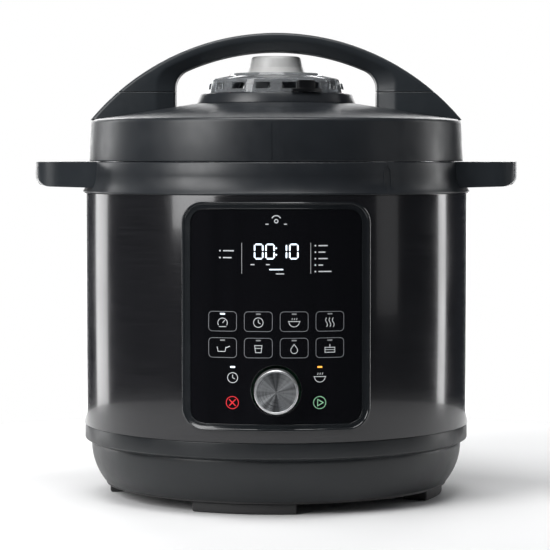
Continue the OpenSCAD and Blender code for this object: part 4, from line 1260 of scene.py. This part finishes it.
class Ink:
    """Collects strokes and shapes that stand a hair off the window, in millimetres."""

    def __init__(self, low: float = 1.55 * MM, high: float = 1.68 * MM) -> None:
        """Starts an empty print between two heights off the sleeve."""
        self.build, self.low, self.high = Build(), low, high

    def stroke(self, path: Sequence[tuple[float, float]], width: float = 0.35,
               closed: bool = False) -> "Ink":
        """A line of a width along a path, mitred at its bends.

        Each point moves sideways by half the width over the cosine of half its turn, along the
        mean of the two normals beside it.
        """
        line = np.array(path, float)
        if closed:
            line = dense(line, 3.0)
            ahead, behind = np.roll(line, -1, 0) - line, line - np.roll(line, 1, 0)
        else:
            steps = np.diff(line, axis=0)
            ahead, behind = np.vstack([steps, steps[-1:]]), np.vstack([steps[:1], steps])
        normals = [np.stack([-way[:, 1], way[:, 0]], 1) / np.linalg.norm(way, axis=1)[:, None]
                   for way in (ahead, behind)]
        mean = normals[0] + normals[1]
        mean /= np.maximum(np.linalg.norm(mean, axis=1)[:, None], 1e-6)
        cosine = np.clip((mean * normals[0]).sum(1), 0.5, 1)[:, None]
        side = mean * width / 2 / cosine
        left, right = (line + side) * MM, (line - side) * MM
        grid = np.stack([wrap(left, self.low), wrap(left, self.high), wrap(right, self.high),
                         wrap(right, self.low)], 1)
        self.build.grid(grid, wrap_rows=closed, caps=not closed)
        return self

    def shape(self, loop: Sequence[tuple[float, float]]) -> "Ink":
        """A filled convex shape."""
        flat = np.array(loop, float) * MM
        self.build.stack(np.stack([wrap(flat, height) for height in (self.low, self.high)]))
        return self

    def bar(self, x: float, z: float, width: float, height: float, round_r: float = 0.0) -> "Ink":
        """A filled bar about a point, with round corners if asked."""
        if round_r:
            return self.shape(rounded_loop(width, height, round_r, 4) + np.array([x, z]))
        half = np.array([width, height]) / 2
        corners = np.array([(-1, -1), (1, -1), (1, 1), (-1, 1)]) * half
        return self.shape(corners + np.array([x, z]))

    def ring(self, x: float, z: float, radius: float, width: float = 0.35,
             sweep: tuple[float, float] = (0, 360)) -> "Ink":
        """A circle, or part of one between two angles."""
        full = sweep[1] - sweep[0] >= 360
        loop = arc((x, z), radius, *sweep, 25)
        return self.stroke(loop[:-1] if full else loop, width, full)

    def done(self, name: str, finish: Finish, slot: str) -> bpy.types.Object:
        """Makes the print and fixes it to the body."""
        return dress(self.build.done(name), finish, "base", slot)


class Icon(Enum):
    """The eight generic key symbols, left to right and top to bottom."""

    PRESSURE = 0
    TIMER = 1
    BOWL = 2
    STEAM = 3
    PAN = 4
    CUP = 5
    DROP = 6
    CAKE = 7


@dataclass
class Panel:
    """Bezel, window, prints, lamps and the clock's segments."""

    inset_x: float = 6 * MM
    inset_z: float = 4.9 * MM
    round_out: float = 14 * MM
    round_in: float = 9 * MM
    fascia_t: float = 1.6 * MM
    hole_gap: float = 2 * MM
    key_columns: tuple[float, ...] = (-34.95, -11.65, 11.65, 34.95)
    key_rows: tuple[float, ...] = (129.3, 112.1)
    key_w: float = 18.2
    key_h: float = 12.8
    digit_z: float = 174.9
    digit_w: float = 6.2
    digit_h: float = 10.2
    digit_xs: tuple[float, ...] = (-11.4, -4.0, 4.0, 11.4)
    segment_t: float = 0.95
    segment_gap: float = 0.3
    foot_x: float = 28.4
    foot_lamp_z: float = 99.6
    divider_x: float = 22.4

    def bezel(self) -> None:
        """The frame round the window: a ridge outside, a slope and a thin step inside."""
        outer = panel_loop(0, 0, self.round_out)
        inner = panel_loop(self.inset_x - 0.05 * MM, self.inset_z - 0.05 * MM, self.round_in)
        section = np.array([(0, 0), (0, 1.7), (0.06, 2.3), (0.14, 2.55), (0.22, 2.55), (0.30, 2.4),
                            (0.36, 2.05), (0.62, 1.75), (0.84, 1.7), (0.88, 1.95), (0.96, 1.9),
                            (1, 1.6), (1, 0)])
        rows = [wrap(outer + (inner - outer) * share, height * MM) for share, height in section]
        ring = Build().grid(np.stack(rows)).done("bezel_frame", 24)
        dress(ring, BEZEL_GLOSS, "base", "bezel_gloss", "control_bezel")

    def fascia(self) -> None:
        """The window, as rings from the dial's hole out to the rounded edge."""
        loop = panel_loop(self.inset_x + 0.15 * MM, self.inset_z + 0.15 * MM, self.round_in)
        centre = np.array([0, SIZES.dial_z])
        away = (loop - centre) / np.linalg.norm(loop - centre, axis=1)[:, None]
        hole = centre + away * (SIZES.dial_r + self.hole_gap)
        shares = np.linspace(0, 1, 46)
        rings = [hole + (loop - hole) * share for share in shares]
        high, edge = self.fascia_t, 0.25 * MM
        rows = [wrap(hole, 0), wrap(hole, high - edge)]
        rows += [wrap(flat + (away * edge if k == 0 else 0), high) for k, flat in enumerate(rings[:-1])]
        rows += [wrap(loop - away * edge, high), wrap(loop, high - edge), wrap(loop, 0)]
        rows += [wrap(flat, 0) for flat in rings[-2:0:-1]]
        window = Build().grid(np.stack(rows)).done("fascia_sheet", 30)
        dress(window, FASCIA, "base", "fascia_gloss", "control_fascia")

    def keys(self) -> None:
        """The eight keys' outlines and the bars of light on their upper edges."""
        lines, frames, dim, lit = Ink(), Ink(), Ink(), Ink()
        for row, z in enumerate(self.key_rows):
            for column, x in enumerate(self.key_columns):
                outline = rounded_loop(self.key_w, self.key_h, 2.4, 6) + np.array([x, z])
                frames.stroke(outline, 0.3, True)
                lamp = lit if row == 0 and column == 0 else dim
                lamp.bar(x, z + self.key_h / 2 - 1.5, 3.2, 0.9, 0.3)
        self.icons(lines)
        lines.done("key_print", PRINT_WHITE, "print_white")
        frames.done("key_frames", PRINT_GREY, "print_white")
        dim.done("key_lamps", PRINT_DIM, "print_white")
        lit.bar(-self.foot_x, self.foot_lamp_z, 3.2, 1.1, 0.4)
        lit.done("lit_lamps", LIT_WHITE, "lamp_white")
        amber = Ink().bar(self.foot_x, self.foot_lamp_z, 3.2, 1.1, 0.4)
        amber.done("amber_lamp", LIT_AMBER, "lamp_amber")

    def icons(self, ink: Ink) -> None:
        """Draws each key's symbol in its middle."""
        for icon in Icon:
            row, column = divmod(icon.value, 4)
            x, z = self.key_columns[column], self.key_rows[row] - 0.6
            self.icon(ink, icon, x, z)

    @staticmethod
    def icon(ink: Ink, icon: Icon, x: float, z: float) -> None:
        """Draws one symbol from a few strokes."""
        def at(*points: tuple[float, float]) -> Array:
            """Points counted from the symbol's middle."""
            return np.array(points, float) + np.array([x, z])

        if icon is Icon.PRESSURE:
            ink.ring(x, z - 0.4, 3.1, 0.4, (-30, 210)).stroke(at((0, -0.4), (1.5, 1.3)), 0.4)
            ink.stroke(at((-2.4, -2.9), (2.4, -2.9)), 0.4)
        elif icon is Icon.TIMER:
            ink.ring(x, z, 3.1, 0.4).stroke(at((0, 1.9), (0, 0), (1.5, -0.8)), 0.4)
        elif icon is Icon.BOWL:
            ink.stroke(at(*arc((0, 0.6), 3.4, 180, 360, 15)), 0.4)
            ink.stroke(at((-4.0, 0.7), (4.0, 0.7)), 0.4)
            for step in (-1.5, 0, 1.5):
                ink.stroke(at((step, 1.7), (step + 0.4, 2.9)), 0.35)
        elif icon is Icon.STEAM:
            for step in (-2.2, 0, 2.2):
                wave = [(step + 0.6 * math.sin(k), -3 + k * 0.95) for k in np.linspace(0, 6.3, 13)]
                ink.stroke(at(*wave), 0.4)
        elif icon is Icon.PAN:
            ink.stroke(at((-3.6, 1.2), (-3.0, -1.9), (1.6, -1.9), (2.2, 1.2)), 0.4)
            ink.stroke(at((2.0, 0.5), (4.8, 1.6)), 0.55)
        elif icon is Icon.CUP:
            ink.stroke(at((-2.4, 2.2), (-1.8, -2.4), (1.8, -2.4), (2.4, 2.2)), 0.4, True)
            ink.stroke(at((-2.1, 0.4), (2.1, 0.4)), 0.35)
        elif icon is Icon.DROP:
            ink.stroke(at((0, 3.0), *arc((0, -0.8), 2.2, 35, -215, 17)), 0.4, True)
        else:
            ink.stroke(at((-3.2, -2.4), (3.2, -2.4), (3.2, 0.8), (-3.2, 0.8)), 0.4, True)
            ink.stroke(at((0, 1.2), (0, 2.8)), 0.5).stroke(at((-3.0, -0.7), (3.0, -0.7)), 0.3)

    def clock(self) -> None:
        """Four seven-segment digits with a colon, reading ten minutes."""
        lit = Ink()
        thick, gap = self.segment_t, self.segment_gap
        for x, digit in zip(self.digit_xs, ("abcdef", "abcdef", "bc", "abcdef")):
            half, rise = self.digit_w / 2 - thick / 2, self.digit_h / 2 - thick / 2
            ends = {"a": ((-half, rise), (half, rise)), "g": ((-half, 0), (half, 0)),
                    "d": ((-half, -rise), (half, -rise)), "b": ((half, 0), (half, rise)),
                    "c": ((half, -rise), (half, 0)), "f": ((-half, 0), (-half, rise)),
                    "e": ((-half, -rise), (-half, 0))}
            for key in digit:
                lit.shape(self.segment(*ends[key], thick, gap) + np.array([x, self.digit_z]))
        for z in (self.digit_z + 2.1, self.digit_z - 2.1):
            lit.bar(0, z, 1.0, 1.0, 0.3)
        lit.bar(0, 163.2, 9.0, 0.7)
        lit.done("clock_segments", LIT_WHITE, "lamp_white")

    @staticmethod
    def segment(start: tuple[float, float], end: tuple[float, float], thick: float,
                gap: float) -> Array:
        """A six-cornered segment between two points, pointed at both ends."""
        first, last = np.array(start, float), np.array(end, float)
        way = (last - first) / np.linalg.norm(last - first)
        side = np.array([-way[1], way[0]]) * thick / 2
        first, last = first + way * gap, last - way * gap
        inner, outer = first + way * thick / 2, last - way * thick / 2
        return np.array([first, inner - side, outer - side, last, outer + side, inner + side])

    def labels(self) -> None:
        """Rows of dots and dashes beside the clock, its dividers and small marks below the keys."""
        ink = Ink()
        for x in (-self.divider_x, self.divider_x):
            ink.stroke([(x, 160.5), (x, 180.5)], 0.22)
        rows = [(-36, -27.5, 175.3), (-36, -29, 170.8)]
        rows += [(26, 26 + length, 178.6 - 4.2 * k) for k, length in enumerate((7.5, 6, 7.5, 4.5, 10))]
        for start, end, z in rows:
            ink.bar(start - 0.6, z, 1.1, 1.1, 0.5)
            ink.bar((start + end + 1.4) / 2, z, end - start - 1.4, 0.75, 0.3)
        ink.bar(-10.5, 166.4, 12.5, 0.7, 0.3).bar(2.5, 160.4, 5.5, 0.7, 0.3)
        # Below the keys: a clock for the delay and a bowl for keeping warm
        ink.ring(-28.4, 92.6, 3.3, 0.4).stroke([(-28.4, 94.6), (-28.4, 92.6), (-26.9, 91.8)], 0.4)
        ink.stroke(np.array(arc((28.4, 93.2), 3.5, 180, 360, 15)), 0.4)
        ink.stroke([(24.3, 93.3), (32.5, 93.3)], 0.4)
        for step in (-1.5, 0.0, 1.5):
            ink.stroke([(28.4 + step, 94.4), (28.8 + step, 95.9)], 0.35)
        ink.done("label_print", PRINT_WHITE, "print_white")
        emblem = Ink().ring(0, 195.2, 3.0, 0.6, (25, 155)).ring(0, 194.6, 1.1, 0.6)
        emblem.stroke([(-7, 192.6), (7, 192.6)], 0.6)
        emblem.done("emblem_print", PRINT_WHITE, "print_white")
        stop = Ink().stroke([(-30.7, 74.2), (-26.5, 78.4)], 0.7)
        stop.stroke([(-30.7, 78.4), (-26.5, 74.2)], 0.7).ring(-28.6, 76.3, 4.0, 0.5)
        stop.done("stop_print", PRINT_RED, "print_red")
        start = Ink().stroke([(27.0, 74.2), (30.6, 76.3), (27.0, 78.4)], 0.6, True)
        start.ring(28.3, 76.3, 4.0, 0.5)
        start.done("start_print", PRINT_GREEN, "print_green")

    def make(self) -> None:
        """Makes the panel."""
        self.bezel()
        self.fascia()
        self.keys()
        self.clock()
        self.labels()


@dataclass
class Dial:
    """The control knob with a grooved side, a bright chamfer and a turned face."""

    grooves: int = 96
    groove: float = 0.16 * MM
    chamfer: float = 1.3 * MM
    wall: float = 2 * MM

    def knob(self) -> None:
        """The hollow metal knob, with a boss for its shaft."""
        back, front, radius = SIZES.dial_back, SIZES.dial_front, SIZES.dial_r
        rim = radius - 1.6 * MM
        outline = np.array([
            (3 * MM, back), (5 * MM, back), (5 * MM, front - 4 * MM),
            (radius - self.wall, front - 4 * MM),
            (radius - self.wall, back), (radius - 0.5 * MM, back), (radius, back + 0.5 * MM),
            (radius, front - 2.8 * MM), (radius - 0.15 * MM, front - 2.5 * MM),
            (radius - 0.1 * MM, front - self.chamfer), (radius - 0.2 * MM, front - 0.5 * MM),
            (radius - 0.6 * MM, front - 0.08 * MM), (rim + 0.1 * MM, front), (rim, front - 0.1 * MM),
            (rim, front - 0.8 * MM), (3 * MM, front - 0.8 * MM)])
        angles = np.linspace(0, TURN, self.grooves * 6, endpoint=False)
        grid = spin(outline, angles)
        depth = self.groove * (0.5 - 0.5 * np.cos(self.grooves * angles))
        side = np.isin(np.arange(len(outline)), (6, 7))[None] * depth[:, None]
        grid[..., :2] *= (1 - side / np.maximum(outline[:, 0], MM)[None])[..., None]
        knob = about_dial(Build().grid(grid).done("dial_knob_turned", 28))
        dress(knob, DIAL_EDGE, "dial", "dial_metal", "dial_knob")

    def face(self) -> None:
        """The thin disc in the knob's front, turned, with painted highlight rays in its colour."""
        front, radius = SIZES.dial_front, SIZES.dial_r - 1.65 * MM
        disc = rounded([(0.01 * MM, front - 0.8 * MM, 0), (radius, front - 0.8 * MM, 0),
                        (radius, front - 0.12 * MM, 0.15 * MM), (0.01 * MM, front - 0.12 * MM, 0)], 3)
        rows = np.linspace(radius - 0.2 * MM, 0.01 * MM, 24)
        top = np.stack([rows, np.full(24, front - 0.12 * MM)], 1)
        outline = np.concatenate([disc[:-1], top])
        plate = about_dial(Build().lathe(outline, 128).done("dial_face_turned", 28))
        dress(plate, DIAL_FACE, "dial", "dial_brushed", "dial_face")

    def make(self) -> None:
        """Makes the knob and its face."""
        self.knob()
        self.face()


# ------------------------------------------------------------------ inside parts


@dataclass(frozen=True)
class Trim:
    """How one CAD node is finished: its finish, body, slot and edge rounding."""

    node: str
    finish: Finish
    body: str
    slot: str
    edge: float = 0.0


@dataclass
class Inside:
    """The pot, seal, heater, boards, cup and fasteners."""

    spring_r: float = 9 * MM
    wire_r: float = 0.6 * MM
    turns: int = 3
    trims: tuple[Trim, ...] = (
        Trim("inner_pot", SPUN_STEEL, "inner_pot", "pot_steel", 0.45 * MM),
        Trim("outer_pot", DRAWN_ALUMINIUM, "base", "housing_metal", 0.3 * MM),
        Trim("locking_ring", LID_STEEL, "base", "pot_steel", 0.5 * MM),
        Trim("pressure_lid", LID_STEEL, "lid", "lid_steel", 0.45 * MM),
        Trim("sealing_ring", SILICONE, "seal", "seal_silicone", 0.6 * MM),
        Trim("seal_rack", WIRE, "lid", "lid_steel"),
        Trim("heater_plate", PLATE_CAST, "base", "plate_metal", 0.8 * MM),
        Trim("heating_element", OXIDE, "base", "element_metal", 0.2 * MM),
        Trim("temperature_sensor", SPUN_STEEL, "temperature_sensor", "pot_steel", 0.5 * MM),
        Trim("sensor_bracket", PRESSED, "base", "bracket_steel", 0.3 * MM),
        Trim("pressure_switch", COVER_BLACK, "base", "switch_plastic", 0.4 * MM),
        Trim("thermal_fuse", CERAMIC, "base", "fuse_ceramic", 0.2 * MM),
        Trim("display_module", DISPLAY_DARK, "base", "display_dark", 0.4 * MM),
        Trim("control_board", BOARD, "base", "board_green", 0.15 * MM),
        Trim("encoder_body", PRESSED, "base", "encoder_metal", 0.3 * MM),
        Trim("power_board", BOARD, "base", "board_green", 0.15 * MM),
        Trim("power_inlet", SOCKET_BLACK, "base", "inlet_black", 0.6 * MM),
        Trim("inlet_pins", BRASS, "base", "pin_brass", 0.4 * MM),
        Trim("cup_holder", CHARCOAL, "base", "charcoal_shell", 0.6 * MM),
        Trim("condensation_cup", CUP_CLEAR, "condensation_cup", "cup_clear", 0.6 * MM),
        Trim("lid_magnet", NICKEL, "lid", "magnet_dark", 0.4 * MM),
        Trim("dial_plunger", PEG_WHITE, "dial_push", "plunger_plastic", 0.2 * MM),
        Trim("dial_shaft", WIRE, "dial", "shaft_metal", 0.4 * MM),
        *(Trim(f"{group}_screws", ZINC, body, "zinc_screw", 0.4 * MM) for group, body in (
            ("cover", "base"), ("grip", "base"), ("pot", "base"), ("bracket", "base"),
            ("lid", "lid"), ("handle", "lid"))))

    def spring(self) -> None:
        """The coil under the sensor: x = r cos t, y = r sin t, rising evenly, with a round wire."""
        low, high = edge_of("sensor_spring", True, Z), edge_of("sensor_spring", False, Z)
        count = self.turns * 40
        angle = np.linspace(0, self.turns * TURN, count + 1)
        height = np.linspace(low + self.wire_r, high - self.wire_r, count + 1)
        round_wire = np.linspace(0, TURN, 14, endpoint=False)
        reach = self.spring_r + self.wire_r * np.cos(round_wire)[None]
        grid = np.stack([reach * np.cos(angle)[:, None], reach * np.sin(angle)[:, None],
                         height[:, None] + self.wire_r * np.sin(round_wire)[None]], 2)
        coil = Build().grid(grid, wrap_rows=False, caps=True).done("sensor_spring_coiled", 50)
        dress(coil, WIRE, "base", "spring_steel", "sensor_spring")

    def make(self) -> None:
        """Makes the inside parts."""
        self.spring()
        for trim in self.trims:
            dress(softened(trim.node, trim.edge), trim.finish, trim.body, trim.slot, trim.node)


# ------------------------------------------------------------------ the studio


@dataclass(frozen=True)
class Softbox:
    """One rectangular light that faces the object."""

    name: str
    azimuth: float
    distance: float
    height: float
    size: tuple[float, float]
    watts: float
    aim: float = 0.15

    def place(self) -> None:
        """Puts the light at its azimuth, counted from the front towards the right."""
        lamp = bpy.data.lights.new(self.name, "AREA")
        lamp.shape, lamp.size, lamp.size_y, lamp.energy = "RECTANGLE", *self.size, self.watts
        turn = math.radians(self.azimuth)
        spot = Vector((self.distance * math.sin(turn), -self.distance * math.cos(turn), self.height))
        light = bpy.data.objects.new(self.name, lamp)
        light.location = spot
        light.rotation_euler = (Vector((0, 0, self.aim)) - spot).to_track_quat("-Z", "Y").to_euler()
        bpy.context.scene.collection.objects.link(light)


@dataclass
class Studio:
    """Camera, floor, surroundings and lights."""

    lens: float = 150.6
    tilt: float = 2.99
    sensor: float = 36
    camera_x: float = -0.8 * MM
    camera_y: float = -1.627
    camera_z: float = 0.2375
    floor_r: float = 0.46
    floor_z: tuple[float, float] = (-0.002, -0.0002)
    lights: tuple[Softbox, ...] = (
        Softbox("window_left", -48, 1.7, 0.95, (0.9, 1.3), 25),
        Softbox("strip_left", -122, 1.5, 0.25, (0.42, 1.5), 8),
        Softbox("strip_right", 111, 1.5, 0.25, (0.22, 1.5), 6),
        Softbox("back_left", -160, 1.6, 0.4, (0.5, 1.2), 7),
        Softbox("back_right", 162, 1.6, 0.4, (0.5, 1.2), 6),
        Softbox("overhead", -20, 0.35, 1.6, (1.1, 0.8), 16),
        Softbox("back_top", 180, 1.5, 1.0, (1.5, 0.5), 9),
        Softbox("fill_right", 66, 1.9, 0.5, (0.5, 1.0), 0.9))

    def camera(self) -> None:
        """The camera in front, looking slightly down."""
        view = bpy.data.cameras.new("camera")
        view.lens, view.sensor_width = self.lens, self.sensor
        rig = bpy.data.objects.new("camera", view)
        rig.location = (self.camera_x, self.camera_y, self.camera_z)
        rig.rotation_euler = (math.radians(90 - self.tilt), 0, 0)
        bpy.context.scene.collection.objects.link(rig)
        bpy.context.scene.camera = rig

    def floor(self) -> None:
        """A plain pale floor, not part of the object."""
        disc = Build().stack(prism(arc((0, 0), self.floor_r, 0, 354, 60), self.floor_z)).done("floor")
        graph = Graph("floor_pale")
        graph.set(Specular_IOR_Level=0.1)
        patch = graph.noise(graph.spot, 3, 3)
        graph.blend(patch, (0.93, 0.93, 0.93), (0.97, 0.97, 0.97))
        graph.join(graph.span(patch, 0.75, 0.85), "Roughness")
        disc.data.materials.append(graph.material)

    def world(self) -> None:
        """White to the camera, and a dim cool grey to everything that it lights."""
        world = bpy.data.worlds.new("studio")
        world.use_nodes = True
        tree = world.node_tree
        tree.nodes.clear()
        output = tree.nodes.new("ShaderNodeOutputWorld")
        mix = tree.nodes.new("ShaderNodeMixShader")
        path = tree.nodes.new("ShaderNodeLightPath")
        tree.links.new(path.outputs["Is Camera Ray"], mix.inputs[0])
        for slot, colour, power in ((1, (0.72, 0.82, 1.0, 1), 0.035), (2, (1, 1, 1, 1), 1.0)):
            back = tree.nodes.new("ShaderNodeBackground")
            back.inputs[0].default_value, back.inputs[1].default_value = colour, power
            tree.links.new(back.outputs[0], mix.inputs[slot])
        tree.links.new(mix.outputs[0], output.inputs["Surface"])
        bpy.context.scene.world = world

    def make(self) -> None:
        """Sets the studio up."""
        self.camera()
        self.floor()
        self.world()
        for light in self.lights:
            light.place()
        bpy.context.scene.view_settings.view_transform = "Standard"


def main() -> None:
    logging.basicConfig(level=logging.INFO, format="%(name)s: %(message)s")
    for part in (Body(), Lid(), Steam(), Panel(), Dial(), Inside(), Studio()):
        log.info("making %s", type(part).__name__)
        part.make()


if __name__ == "__main__":
    main()
